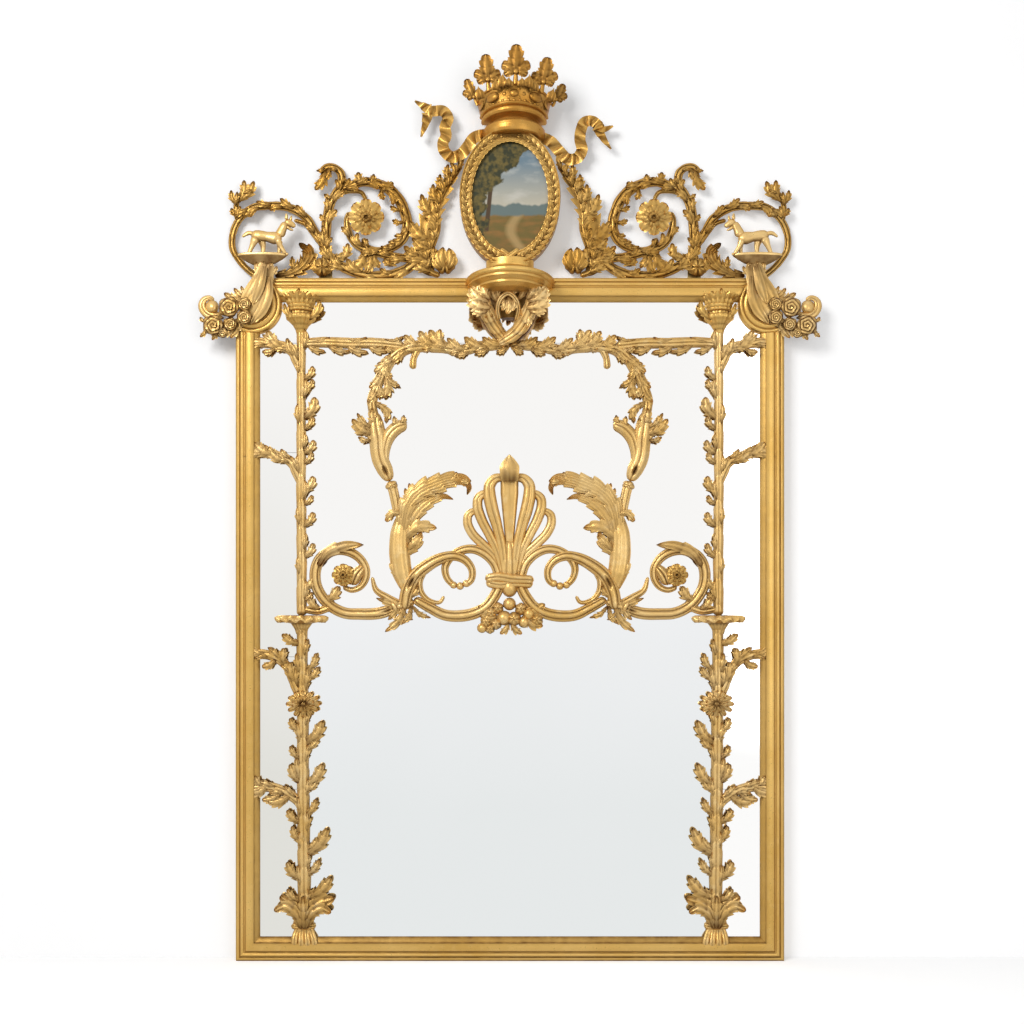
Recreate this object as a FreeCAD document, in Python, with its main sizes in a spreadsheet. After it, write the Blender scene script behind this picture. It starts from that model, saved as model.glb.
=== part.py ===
import FreeCAD
import Part
import Sketcher
import math
import os

Vector = FreeCAD.Vector

# Driving sizes in millimetres. The wall is the plane y = 0, the front faces -Y,
# and the origin is at the middle of the back edge of the bottom rail.
driving_sizes = {
    "frame_width": 1650.0,
    "frame_height": 2055.0,
    "frame_depth": 66.0,
    "moulding_width": 72.0,
    "rebate_width": 14.0,
    "board_setback": 4.0,
    "board_thickness": 12.0,
    "board_joint": 2.0,
    "bar_thickness": 14.0,
    "bar_width": 40.0,
    "glass_thickness": 4.0,
    "glass_joint": 1.0,
    "corner_radius": 87.0,
    "corner_width": 45.0,
    "corner_offset": 774.0,
    "corner_drop": 81.0,
    "column_offset": 625.5,
    "column_width": 29.0,
    "capital_radius": 52.0,
    "capital_height": 108.0,
    "capital_finial": 24.0,
    "pan_width": 156.0,
    "pan_projection": 62.0,
    "stem_width": 32.0,
    "vine_width": 25.0,
    "leaf_rise": 16.0,
    "leaf_edge": 5.0,
    "crest_rise": 330.0,
    "crest_setback": 8.0,
    "crest_stem_width": 28.0,
    "ribbon_width": 26.0,
    "shelf_width": 270.0,
    "shelf_projection": 215.0,
    "shelf_drop": 10.0,
    "shelf_thickness": 22.0,
    "corbel_height": 92.0,
    "plinth_width": 160.0,
    "plinth_depth": 74.0,
    "medallion_width": 302.0,
    "medallion_height": 408.0,
    "medallion_depth": 66.0,
    "medallion_rise": 30.0,
    "opening_width": 225.0,
    "opening_height": 331.0,
    "panel_thickness": 8.0,
    "panel_setback": 18.0,
    "panel_lip": 8.0,
    "panel_play": 0.3,
    "crown_radius": 115.0,
    "crown_height": 140.0,
    "crown_lap": 28.0,
    "crown_leaf_height": 105.0,
    "crown_shift": 12.0,
    "batten_width": 120.0,
    "batten_thickness": 18.0,
    "batten_drop": 54.0,
    "wall_plate_width": 40.0,
    "wall_plate_height": 90.0,
    "wall_plate_thickness": 3.0,
    "wall_plate_offset": 560.0,
    "wall_hole_radius": 3.2,
    "wall_hole_rise": 25.0,
    "screw_head_radius": 5.0,
    "screw_head_height": 2.5,
    "screw_shank_radius": 2.2,
    "screw_length": 16.0,
    "block_length": 60.0,
    "dog_depth": 44.0,
    "pedestal_depth": 70.0,
    "cut_overrun": 5.0,
}

doc = FreeCAD.newDocument("overmantel_mirror")
sheet = doc.addObject("Spreadsheet::Sheet", "Sizes")
for row, (name, value) in enumerate(driving_sizes.items(), start=1):
    sheet.set(f"A{row}", name)
    sheet.set(f"B{row}", str(value))
    sheet.setAlias(f"B{row}", name)
doc.recompute()


class Size:
    """A length with its value now and the sheet expression that keeps it up to date."""

    def __init__(self, value, text):
        self.value = value
        self.text = text

    def __add__(self, other):
        other = as_size(other)
        return Size(self.value + other.value, f"({self.text} + {other.text})")

    def __sub__(self, other):
        other = as_size(other)
        return Size(self.value - other.value, f"({self.text} - {other.text})")

    def __mul__(self, share):
        return Size(self.value * share, f"({self.text} * {share!r})")

    def __neg__(self):
        return self * -1.0

    def chord(self, other):
        return Size(math.hypot(self.value, other.value), f"sqrt({self.text} ^ 2 + {other.text} ^ 2)")


def as_size(value):
    return value if isinstance(value, Size) else Size(float(value), repr(float(value)))


class Sheet:
    """Each driving size by its name in the sheet."""

    def __getattr__(self, name):
        return Size(float(sheet.get(name)), f"Sizes.{name}")


size = Sheet()
half_width = size.frame_width * 0.5
board_front = size.board_setback + size.board_thickness
glass_back = board_front + size.bar_thickness
glass_front = glass_back + size.glass_thickness
sight_width = size.frame_width - size.moulding_width * 2.0
rebate_span = sight_width + size.rebate_width * 2.0
sight_base = size.moulding_width - size.rebate_width
rebate_height = size.frame_height - sight_base * 2.0

# Pixel coordinates of the photograph that carry the elevation over to the part.
photo_axis_x = 510.0
photo_side_x = 235.0
photo_base_y = 962.0
photo_rail_y = 277.0
photo_crest_y = 167.0

sub_parts = []


def elevation(pixel):
    """Turns a photograph pixel into x and z on the part's front elevation."""
    column, line = pixel
    x = (column - photo_axis_x) / (photo_axis_x - photo_side_x) * half_width.value
    if line >= photo_rail_y:
        z = (photo_base_y - line) / (photo_base_y - photo_rail_y) * size.frame_height.value
    else:
        rise = (photo_rail_y - line) / (photo_rail_y - photo_crest_y) * size.crest_rise.value
        z = size.frame_height.value + rise
    return x, z


def height_at(line):
    return elevation((photo_axis_x, line))[1]


def keep(item, label):
    item.Label = label
    sub_parts.append(item)
    return item


def place(item, x=None, y=None, z=None):
    for axis, value in zip("xyz", (x, y, z)):
        if value is not None:
            item.setExpression(f"Placement.Base.{axis}", as_size(value).text)


def box(label, length, width, height, x, y, z):
    """A board or plate: its corner is at x, y, z."""
    item = doc.addObject("Part::Box", label)
    item.setExpression("Length", length.text)
    item.setExpression("Width", width.text)
    item.setExpression("Height", height.text)
    place(item, x, y, z)
    return item


def rod(label, radius, length, x, y, z, axis):
    """A round bar from x, y, z along an axis."""
    item = doc.addObject("Part::Cylinder", label)
    item.setExpression("Radius", radius.text)
    item.setExpression("Height", length.text)
    item.Placement = FreeCAD.Placement(Vector(), FreeCAD.Rotation(Vector(0, 0, 1), axis))
    place(item, x, y, z)
    return item


def combine(kind, label, base, tools):
    """Cuts the tools from the base, or joins them with it."""
    if kind == "Part::Cut":
        tool = tools[0]
        if len(tools) > 1:
            tool = doc.addObject("Part::MultiFuse", f"{label}_tools")
            tool.Shapes = tools
        item = doc.addObject("Part::Cut", label)
        item.Base = base
        item.Tool = tool
    else:
        item = doc.addObject("Part::Compound", label)
        item.Links = [base, *tools]
    return item


def mirrored(label, source):
    """The right-hand twin of a left-hand piece."""
    item = doc.addObject("Part::Mirroring", label)
    item.Source = source
    item.Base = Vector(0, 0, 0)
    item.Normal = Vector(1, 0, 0)
    return keep(item, label)


def draw(body, name, role, corners, bulge_shares=None):
    """A closed outline on one of the body's own planes, held by the sheet at every corner.

    An edge named in bulge_shares is an arc that stands off its chord by that share of it,
    to the right of the direction of travel.
    """
    sketch = body.newObject("Sketcher::SketchObject", name)
    plane = [feature for feature in body.Origin.OriginFeatures if feature.Role == role][0]
    sketch.AttachmentSupport = [(plane, "")]
    sketch.MapMode = "FlatFace"
    bulge_shares = bulge_shares or {}
    corners = [(as_size(u), as_size(v)) for u, v in corners]
    points = [Vector(u.value, v.value, 0) for u, v in corners]
    ends = []
    for index, start in enumerate(points):
        stop = points[(index + 1) % len(points)]
        share = bulge_shares.get(index)
        if share is None:
            sketch.addGeometry(Part.LineSegment(start, stop), False)
            ends.append((1, 2))
            continue
        run = stop - start
        middle = (start + stop) * 0.5 + Vector(run.y, -run.x, 0) * share
        if share > 0:
            sketch.addGeometry(Part.Arc(start, middle, stop), False)
            ends.append((1, 2))
        else:
            sketch.addGeometry(Part.Arc(stop, middle, start), False)
            ends.append((2, 1))
        following = corners[(index + 1) % len(points)]
        chord = (following[0] - corners[index][0]).chord(following[1] - corners[index][1])
        radius = chord * (1.0 / (8.0 * abs(share)) + abs(share) / 2.0)
        mark = sketch.addConstraint(Sketcher.Constraint("Radius", index, radius.value))
        sketch.setExpression(f"Constraints[{mark}]", radius.text)
    for index, (u, v) in enumerate(corners):
        following = (index + 1) % len(points)
        sketch.addConstraint(
            Sketcher.Constraint("Coincident", index, ends[index][1], following, ends[following][0])
        )
        for kind, amount, axis in (("DistanceX", u, -2), ("DistanceY", v, -1)):
            if amount.value == 0.0:
                sketch.addConstraint(Sketcher.Constraint("PointOnObject", index, ends[index][0], axis))
                continue
            mark = sketch.addConstraint(
                Sketcher.Constraint(kind, -1, 1, index, ends[index][0], amount.value)
            )
            sketch.setExpression(f"Constraints[{mark}]", amount.text)
    return sketch


def pad(body, sketch, length, both_ways=False):
    feature = body.newObject("PartDesign::Pad", f"{sketch.Name}_pad")
    feature.Profile = sketch
    feature.SideType = "Symmetric" if both_ways else "One side"
    feature.setExpression("Length", length.text)
    return feature


def pocket(body, sketch):
    feature = body.newObject("PartDesign::Pocket", f"{sketch.Name}_pocket")
    feature.Profile = sketch
    feature.Type = "ThroughAll"
    feature.SideType = "Symmetric"
    return feature


def turn(body, sketch, angle):
    """Turns an outline about the sketch's upright axis."""
    feature = body.newObject("PartDesign::Revolution", f"{sketch.Name}_turn")
    feature.Profile = sketch
    feature.ReferenceAxis = (sketch, ["V_Axis"])
    feature.Angle = angle
    return feature


# The frame's moulding: from the outer edge inward, as shares of its width and depth.
moulding_shares = (
    (0.0, 0.62),
    (0.15, 0.74),
    (0.33, 0.74),
    (0.42, 0.80),
    (0.79, 0.80),
    (0.79, 0.72),
    (1.0, 0.56),
)
moulding_bulge_shares = {1: -0.18, 2: 0.45, 3: -0.2, 4: 0.27, 6: 0.1}


def moulding_corners(across):
    """The moulding's section; across turns a distance from the outer edge into a coordinate."""
    rebate_edge = size.moulding_width - size.rebate_width
    outline = [(0.0, 0.0)]
    outline += [(size.moulding_width * u, size.frame_depth * d) for u, d in moulding_shares]
    outline += [
        (size.moulding_width, glass_front),
        (rebate_edge, glass_front),
        (rebate_edge, 0.0),
    ]
    return [(across(as_size(u)), -as_size(d)) for u, d in outline]


def mitre_corners(side):
    """The waste triangle at a bottom corner; side is -1 for the left."""
    reach = size.moulding_width + size.cut_overrun
    return {
        "outer": (half_width + size.cut_overrun) * side,
        "inner": (half_width - reach) * side,
        "low": -size.cut_overrun,
        "high": reach,
    }


def make_frame():
    """The four mitred and scribed members and the two curved corner mouldings."""
    corner = doc.addObject("PartDesign::Body", "corner_moulding_left")
    inner = size.corner_radius - size.corner_width
    middle = size.corner_radius - size.corner_width * 0.5
    step = size.corner_width * 0.2
    section = [
        (inner, 0.0),
        (size.corner_radius, 0.0),
        (size.corner_radius, -size.frame_depth * 0.7),
        (size.corner_radius - step, -size.frame_depth * 0.74),
        (middle + step, -size.frame_depth * 0.78),
        (inner + step, -size.frame_depth * 0.78),
        (inner, -size.frame_depth * 0.7),
    ]
    arcs = {2: -0.3, 4: -0.3, 5: -0.3}
    turn(corner, draw(corner, "corner_section", "XY_Plane", section, arcs), 200.0)
    corner.Placement = FreeCAD.Placement(Vector(), FreeCAD.Rotation(Vector(0, 1, 0), -69.0))
    place(corner, -size.corner_offset, 0.0, size.frame_height - size.corner_drop)
    keep(corner, "corner_moulding_left")
    mirrored("corner_moulding_right", corner)

    scribes = []
    for side, name in ((-1.0, "left"), (1.0, "right")):
        scribes.append(
            rod(
                f"scribe_{name}",
                size.corner_radius,
                size.frame_depth + size.cut_overrun * 2.0,
                size.corner_offset * side,
                size.cut_overrun,
                size.frame_height - size.corner_drop,
                Vector(0, -1, 0),
            )
        )

    stile = doc.addObject("PartDesign::Body", "stile_blank")
    section = moulding_corners(lambda u: u - half_width)
    pad(stile, draw(stile, "stile_section", "XY_Plane", section, moulding_bulge_shares),
        size.frame_height - size.corner_drop)
    waste = mitre_corners(-1.0)
    triangle = [
        (waste["outer"], waste["low"]),
        (waste["inner"], waste["low"]),
        (waste["inner"], waste["high"]),
    ]
    pocket(stile, draw(stile, "stile_mitre", "XZ_Plane", triangle))
    stile_left = keep(combine("Part::Cut", "stile_left", stile, [scribes[0]]), "stile_left")
    mirrored("stile_right", stile_left)

    bottom = doc.addObject("PartDesign::Body", "rail_bottom")
    section = [(d, u) for u, d in moulding_corners(lambda u: u)]
    flipped = {index: -share for index, share in moulding_bulge_shares.items()}
    pad(bottom, draw(bottom, "bottom_section", "YZ_Plane", section, flipped), size.frame_width, True)
    for side, name in ((-1.0, "left"), (1.0, "right")):
        waste = mitre_corners(side)
        triangle = [
            (waste["outer"], waste["low"]),
            (waste["outer"], waste["high"] + size.cut_overrun),
            (waste["inner"], waste["high"] + size.cut_overrun),
            (waste["inner"], waste["high"]),
        ]
        pocket(bottom, draw(bottom, f"bottom_mitre_{name}", "XZ_Plane", triangle))
    keep(bottom, "rail_bottom")

    top = doc.addObject("PartDesign::Body", "top_blank")
    section = [(d, u) for u, d in moulding_corners(lambda u: size.frame_height - u)]
    pad(top, draw(top, "top_section", "YZ_Plane", section, moulding_bulge_shares),
        size.corner_offset * 2.0, True)
    return scribes, top


def line_height(line):
    """The height of a photograph line within the frame, as a share of the frame's height."""
    return size.frame_height * ((photo_base_y - line) / (photo_base_y - photo_rail_y))


# Photograph lines where the mirror plates meet.
top_joint_line = 342.0
middle_joint_line = 612.0
margin_joint_lines = (342.0, 452.0, 657.0, 790.0)
board_count = 3
block_count = 8


def make_glazing(scribes):
    """Backboards, bars behind the plate joints, packing blocks and the mirror plates."""
    gap = size.glass_joint * 0.5
    bar_edge = size.column_offset - size.bar_width * 0.5
    for side, name in ((-1.0, "left"), (1.0, "right")):
        bar = box(
            f"glazing_bar_{name}", size.bar_width, size.bar_thickness, rebate_height,
            size.column_offset * side - size.bar_width * 0.5, -glass_back, sight_base,
        )
        keep(bar, f"glazing_bar_{name}")
    for name, line in (("top", top_joint_line), ("middle", middle_joint_line)):
        bar = box(
            f"glazing_bar_{name}", bar_edge * 2.0, size.bar_thickness, size.bar_width,
            -bar_edge, -glass_back, line_height(line) - size.bar_width * 0.5,
        )
        keep(bar, f"glazing_bar_{name}")

    def plate(name, left, right, low, high):
        return box(name, right - left, size.glass_thickness, high - low, left, -glass_front, low)

    inner = size.column_offset - gap
    outer = rebate_span * 0.5
    top_joint = line_height(top_joint_line)
    middle_joint = line_height(middle_joint_line)
    ceiling = size.frame_height - sight_base
    keep(plate("plate_centre_upper", -inner, inner, middle_joint + gap, top_joint - gap),
         "plate_centre_upper")
    keep(plate("plate_centre_lower", -inner, inner, sight_base, middle_joint - gap),
         "plate_centre_lower")
    blank = plate("plate_top_blank", -outer, outer, top_joint + gap, ceiling)
    keep(combine("Part::Cut", "plate_top", blank, scribes), "plate_top")
    margins = []
    lines = (*margin_joint_lines, None)
    for index, line in enumerate(margin_joint_lines):
        below = lines[index + 1]
        low = sight_base if below is None else line_height(below) + gap
        margins.append(
            plate(f"margin_plate_{index}", -outer, -size.column_offset - gap, low, line_height(line) - gap)
        )
    margin_left = combine("Part::Compound", "margin_plates_left", margins[0], margins[1:])
    keep(margin_left, "margin_plates_left")
    mirrored("margin_plates_right", margin_left)

    boards = []
    board_width = (rebate_span - size.board_joint * (board_count - 1.0)) * (1.0 / board_count)
    for index in range(board_count):
        board = box(
            f"board_{index}", board_width, size.board_thickness, rebate_height,
            (board_width + size.board_joint) * float(index) - outer, -board_front, sight_base,
        )
        boards.append(combine("Part::Cut", f"board_cut_{index}", board, scribes))
    keep(combine("Part::Compound", "backboards", boards[0], boards[1:]), "backboards")

    blocks = []
    spacing = size.frame_height * (0.8 / block_count)
    for side in (-1.0, 1.0):
        for index in range(block_count):
            left = -outer if side < 0 else outer - size.rebate_width
            low = sight_base + spacing * (index + 0.4)
            blocks.append(
                box(f"block_{len(blocks)}", size.rebate_width, size.bar_thickness, size.block_length,
                    left, -glass_back, low)
            )
    keep(combine("Part::Compound", "glazing_blocks", blocks[0], blocks[1:]), "glazing_blocks")


def make_back_fixings(scribes, top_blank):
    """Batten, wall plates and screws let into the back of the top rail."""
    screws = []
    rise = size.frame_height - size.moulding_width * 0.4
    step = size.wall_plate_width * 0.25
    for side in (-1.0, 1.0):
        for way in (-1.0, 1.0):
            spots = (
                (size.wall_plate_offset * side + step * way, rise),
                (size.batten_width * (0.25 * side), rise + step * way),
            )
            for x, z in spots:
                name = f"screw_{len(screws)}"
                shank = rod(f"{name}_shank", size.screw_shank_radius, size.screw_length,
                            x, 0.0, z, Vector(0, -1, 0))
                cone = doc.addObject("Part::Cone", f"{name}_cone")
                cone.setExpression("Radius1", size.screw_head_radius.text)
                cone.setExpression("Radius2", size.screw_shank_radius.text)
                cone.setExpression("Height", size.screw_head_height.text)
                cone.Placement = FreeCAD.Placement(
                    Vector(), FreeCAD.Rotation(Vector(0, 0, 1), Vector(0, -1, 0))
                )
                place(cone, x, 0.0, z)
                screw = doc.addObject("Part::MultiFuse", name)
                screw.Shapes = [cone, shank]
                screws.append(screw)
    keep(combine("Part::Compound", "frame_screws", screws[0], screws[1:]), "frame_screws")

    foot = size.frame_height - size.batten_drop
    reach = size.batten_drop + size.medallion_rise + size.medallion_height + size.crown_height * 0.5
    batten = box("batten_blank", size.batten_width, size.batten_thickness, reach,
                 -size.batten_width * 0.5, -size.batten_thickness, foot)
    keep(combine("Part::Cut", "crest_batten", batten, screws), "crest_batten")

    plates = []
    low = size.frame_height + size.wall_hole_rise * 1.6 - size.wall_plate_height
    for side in (-1.0, 1.0):
        centre = size.wall_plate_offset * side
        name = "left" if side < 0 else "right"
        plate = box(f"wall_plate_{name}_blank", size.wall_plate_width, size.wall_plate_thickness,
                    size.wall_plate_height, centre - size.wall_plate_width * 0.5,
                    -size.wall_plate_thickness, low)
        hole = rod(f"wall_hole_{name}", size.wall_hole_radius,
                   size.wall_plate_thickness + size.cut_overrun * 2.0, centre, size.cut_overrun,
                   size.frame_height + size.wall_hole_rise, Vector(0, -1, 0))
        plates.append((plate, combine("Part::Cut", f"wall_plate_{name}", plate, [hole, *screws])))
    keep(combine("Part::Compound", "wall_plates", plates[0][1], [plates[1][1]]), "wall_plates")

    housings = [batten, plates[0][0], plates[1][0]]
    keep(combine("Part::Cut", "rail_top", top_blank, scribes + housings + screws), "rail_top")


# Carving: stems have a half-oval section on a flat back, leaves a raised rib and a cut edge.
section_steps = 6
spline_degree = 3
samples_per_point = 4
leaf_outline_shares = (
    (0.0, 0.22),
    (0.14, 0.42),
    (0.26, 0.96),
    (0.38, 0.60),
    (0.52, 1.0),
    (0.64, 0.55),
    (0.80, 0.62),
)
sliver_share = 0.02
petal_outline_shares = ((0.0, 0.3), (0.45, 0.85), (0.8, 1.0))
trefoil_outline_shares = (
    (0.0, 0.2),
    (0.22, 0.25),
    (0.3, 1.0),
    (0.52, 0.9),
    (0.58, 0.4),
    (0.78, 0.62),
)


def blend(shares, where):
    """The value of an evenly spaced list at a share of its length."""
    spot = where * (len(shares) - 1)
    first = min(int(spot), len(shares) - 2)
    return shares[first] + (shares[first + 1] - shares[first]) * (spot - first)


def clamped_knots(count):
    """Knots and their counts for a spline that starts and ends on its first and last poles."""
    inner = count - spline_degree - 1
    knots = [float(step) for step in range(inner + 2)]
    return knots, [spline_degree + 1] + [1] * inner + [spline_degree + 1]


def sewn(faces):
    shell = Part.Shell(faces)
    shell.sewShape()
    solid = Part.Solid(shell)
    if solid.Volume < 0:
        solid.reverse()
    return solid


def stem(route, width, width_shares, back, rise_share=1.6):
    """A tapering branch along pixel points: half-oval across, flat on its back."""
    curve = Part.BSplineCurve()
    curve.interpolate([Vector(x, -back.value, z) for x, z in map(elevation, route)])
    path = curve.discretize(Number=samples_per_point * len(route))
    grid = []
    for index, point in enumerate(path):
        where = index / (len(path) - 1)
        ahead = path[min(index + 1, len(path) - 1)] - path[max(index - 1, 0)]
        across = Vector(ahead.z, 0, -ahead.x).normalize()
        half = width.value * blend(width_shares, where) * 0.5
        angles = [math.pi * step / section_steps for step in range(section_steps + 1)]
        grid.append([
            point + across * (half * math.cos(angle)) - Vector(0, half * rise_share * math.sin(angle), 0)
            for angle in angles
        ])
    surface = Part.BSplineSurface()
    along_knots, along_counts = clamped_knots(len(grid))
    across_knots, across_counts = clamped_knots(section_steps + 1)
    surface.buildFromPolesMultsKnots(
        grid, along_counts, across_counts, along_knots, across_knots, False, False,
        spline_degree, spline_degree,
    )
    first_u, last_u, first_v, last_v = surface.bounds()
    rims = [surface.vIso(first_v).toShape(), surface.vIso(last_v).toShape()]
    faces = [surface.toShape()]
    links = []
    for u, row in ((first_u, grid[0]), (last_u, grid[-1])):
        link = Part.makeLine(row[0], row[-1])
        links.append(link)
        faces.append(Part.Face(Part.Wire([surface.uIso(u).toShape(), link])))
    faces.append(Part.Face(Part.Wire(Part.__sortEdges__([*rims, *links]))))
    return sewn(faces)


def flat_leaf(length, width, rise, edge, outline_shares):
    """A leaf up the Z axis from the origin, flat on y = 0, with a rib that falls to the tip."""
    half = width * 0.5
    sides = {}
    for way in (-1.0, 1.0):
        sides[way] = [Vector(way * half * w, 0, length * t) for t, w in outline_shares]
    tip = Vector(0, 0, length)
    lift = Vector(0, -edge, 0)
    ribs = [Vector(0, -edge - rise * (1.0 - 0.75 * t), length * t) for t, w in outline_shares]
    faces = []
    for way, points in sides.items():
        ring = [*points, tip]
        spine = [*ribs, tip + lift]
        for index in range(len(ring) - 1):
            low, high = ring[index], ring[index + 1]
            faces.append(Part.makePolygon([low, high, high + lift, low + lift, low]))
            faces.append(Part.makePolygon([low + lift, high + lift, spine[index], low + lift]))
            if index < len(ring) - 2:
                faces.append(
                    Part.makePolygon([high + lift, spine[index + 1], spine[index], high + lift])
                )
    left, right = sides[-1.0], sides[1.0]
    faces.append(Part.makePolygon([left[0], left[0] + lift, ribs[0], right[0] + lift, right[0], left[0]]))
    faces.append(Part.makePolygon([*left, tip, *reversed(right), left[0]]))
    return sewn([Part.Face(wire) for wire in faces])


def leaf(base, tip, width_share, back, rise_share=1.0, outline_shares=leaf_outline_shares):
    """A leaf on the front elevation from one pixel to another."""
    start = elevation(base)
    end = elevation(tip)
    run = (end[0] - start[0], end[1] - start[1])
    length = math.hypot(*run)
    shape = flat_leaf(length, length * width_share, size.leaf_rise.value * rise_share,
                      size.leaf_edge.value, outline_shares)
    shape.rotate(Vector(), Vector(0, 1, 0), math.degrees(math.atan2(run[0], run[1])))
    shape.translate(Vector(start[0], -back.value, start[1]))
    return shape


def pixel_length(pixels):
    """A length on the front elevation from its length in pixels."""
    return pixels / (photo_axis_x - photo_side_x) * half_width.value


def dome(centre, radius, back):
    """Half a ball standing on the flat back."""
    x, z = elevation(centre)
    return Part.makeSphere(pixel_length(radius), Vector(x, -back.value, z), Vector(0, -1, 0), 0, 90, 360)


def flower(centre, radius, petals, back):
    """Petals round a domed heart."""
    x, z = elevation(centre)
    reach = pixel_length(radius)
    shapes = [dome(centre, radius * 0.42, back)]
    for index in range(petals):
        petal = flat_leaf(reach, reach * 2.6 * math.sin(math.pi / petals), size.leaf_rise.value,
                          size.leaf_edge.value, petal_outline_shares)
        petal.rotate(Vector(), Vector(0, 1, 0), 360.0 * (index + 0.5) / petals)
        petal.translate(Vector(x, -back.value, z))
        shapes.append(petal)
    return shapes


def half_oval(centre_x, z, half, depth, back):
    """A D-shaped wire lying level, its straight side on the back."""
    major, minor = max(half, depth), min(half, depth)
    oval = Part.Ellipse(Vector(), major, minor)
    start, stop = (0.0, math.pi) if half >= depth else (-math.pi / 2.0, math.pi / 2.0)
    edge = oval.toShape(start, stop)
    if half >= depth:
        edge.rotate(Vector(), Vector(0, 0, 1), 180.0)
    else:
        edge.rotate(Vector(), Vector(0, 0, 1), -90.0)
    edge.translate(Vector(centre_x, -back, z))
    ends = [vertex.Point for vertex in edge.Vertexes]
    return Part.Wire([edge, Part.makeLine(ends[1], ends[0])])


def oval(centre_x, centre_y, z, half, depth):
    """A level oval wire."""
    ring = Part.Ellipse(Vector(), max(half, depth), min(half, depth)).toShape()
    if depth > half:
        ring.rotate(Vector(), Vector(0, 0, 1), 90.0)
    ring.translate(Vector(centre_x, centre_y, z))
    return Part.Wire([ring])


def lofted(wires):
    return Part.makeLoft(wires, True, True)


def tube(points, radii, depth):
    """A round limb in the flat of the elevation, through pixel points with pixel radii."""
    centres = [Vector(x, -depth, z) for x, z in map(elevation, points)]
    rings = []
    for index, centre in enumerate(centres):
        ahead = centres[min(index + 1, len(centres) - 1)] - centres[max(index - 1, 0)]
        ring = Part.makeCircle(pixel_length(radii[index]), centre, ahead)
        rings.append(Part.Wire([ring]))
    return Part.makeLoft(rings, True, False)


def carve(label, shapes, scribed_to=()):
    """Joins the carved forms of one piece and scribes it to the pieces that it meets."""
    shape = shapes[0].multiFuse(shapes[1:]) if len(shapes) > 1 else shapes[0]
    if scribed_to:
        shape = shape.cut([getattr(neighbour, "Shape", neighbour) for neighbour in scribed_to])
    item = doc.addObject("Part::Feature", label)
    solids = sorted(shape.Solids, key=lambda solid: -solid.Volume)
    least = solids[0].Volume * sliver_share
    item.Shape = Part.makeCompound([solid for solid in solids if solid.Volume > least])
    item.Placement = FreeCAD.Placement()
    return keep(item, label)


def right_half():
    """A block that fills the right-hand side, for pieces that stop at the middle."""
    reach = size.frame_width.value
    return Part.makeBox(reach, reach, reach * 2.0, Vector(0, -reach, 0))


def pair(item):
    """Adds the right-hand twin of a left-hand piece."""
    return mirrored(item.Label.replace("_left", "_right"), item)


def node(label):
    return [item for item in sub_parts if item.Label == label][0]


def leaves(table, back, rise_share=1.0):
    return [leaf(base, tip, width_share, back, rise_share) for base, tip, width_share in table]


# Columns: pixel routes, then leaves as base pixel, tip pixel and width share.
lower_column_route = ((304, 932), (304, 880), (303, 800), (302.5, 720), (302, 660), (302, 628))
lower_column_leaves = (
    ((299, 643), (283, 634), 0.6),
    ((307, 672), (315, 653), 0.55),
    ((307, 678), (317, 667), 0.7),
    ((300, 732), (291, 720), 0.6),
    ((306, 744), (321, 722), 0.6),
    ((300, 757), (291, 746), 0.6),
    ((300, 782), (293, 766), 0.6),
    ((307, 787), (321, 764), 0.6),
    ((307, 815), (315, 801), 0.6),
    ((301, 820), (289, 811), 0.7),
    ((301, 842), (294, 827), 0.6),
    ((307, 853), (326, 831), 0.65),
    ((301, 878), (290, 863), 0.7),
    ((307, 874), (318, 862), 0.6),
    ((306, 897), (330, 879), 0.65),
    ((301, 900), (289, 890), 0.6),
    ((301, 917), (279, 897), 0.6),
    ((301, 923), (273, 910), 0.55),
    ((307, 917), (334, 899), 0.55),
    ((307, 923), (329, 915), 0.55),
)
daisy = ((303, 704), 17.0)
foot_shift = 2.5
foot_lines = ((928, 7.0), (937, 7.5), (946, 12.0))
upper_column_route = ((301.5, 614), (301.5, 560), (301, 500), (301, 440), (301, 390), (301, 331))
upper_column_leaves = (
    ((304, 378), (312, 368), 0.6),
    ((304, 390), (312, 380), 0.6),
    ((303, 416), (314, 399), 0.7),
    ((304, 428), (312, 417), 0.6),
    ((304, 452), (312, 442), 0.6),
    ((304, 462), (312, 452), 0.6),
    ((304, 490), (312, 478), 0.6),
    ((304, 522), (312, 510), 0.6),
    ((304, 555), (312, 543), 0.6),
    ((304, 590), (312, 578), 0.6),
)
pan_lines = ((613.5, 0.66), (616.0, 0.9), (619.0, 1.0), (622.0, 0.92), (625.0, 0.4), (632.0, 0.2))
arm_routes = (
    ((301, 372), (297, 360), (292, 352), (285, 347), (275, 344), (260, 342), (249, 341)),
    ((301, 484), (297, 474), (293, 465), (285, 458), (275, 455), (262, 452), (248, 449)),
    ((301, 700), (297, 690), (293, 680), (288, 668), (280, 660), (268, 655), (249, 654)),
    ((301, 806), (297, 800), (290, 795), (280, 790), (265, 787), (250, 788)),
)
arm_leaves = (
    ((281, 347), (268, 332), 0.45),
    ((280, 457), (268, 449), 0.5),
    ((283, 665), (283, 650), 0.5),
    ((286, 796), (271, 802), 0.6),
    ((263, 787), (256, 777), 0.6),
)
arm_width_shares = (0.55, 0.9, 1.0, 1.0, 0.9, 1.0)
capital_line = 331.0
capital_shares = (
    (0.27, 0.0),
    (0.30, 0.12),
    (0.82, 0.36),
    (0.82, 0.44),
    (0.66, 0.55),
    (0.74, 0.72),
    (0.92, 0.88),
    (1.0, 0.92),
    (1.0, 1.0),
)


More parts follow.
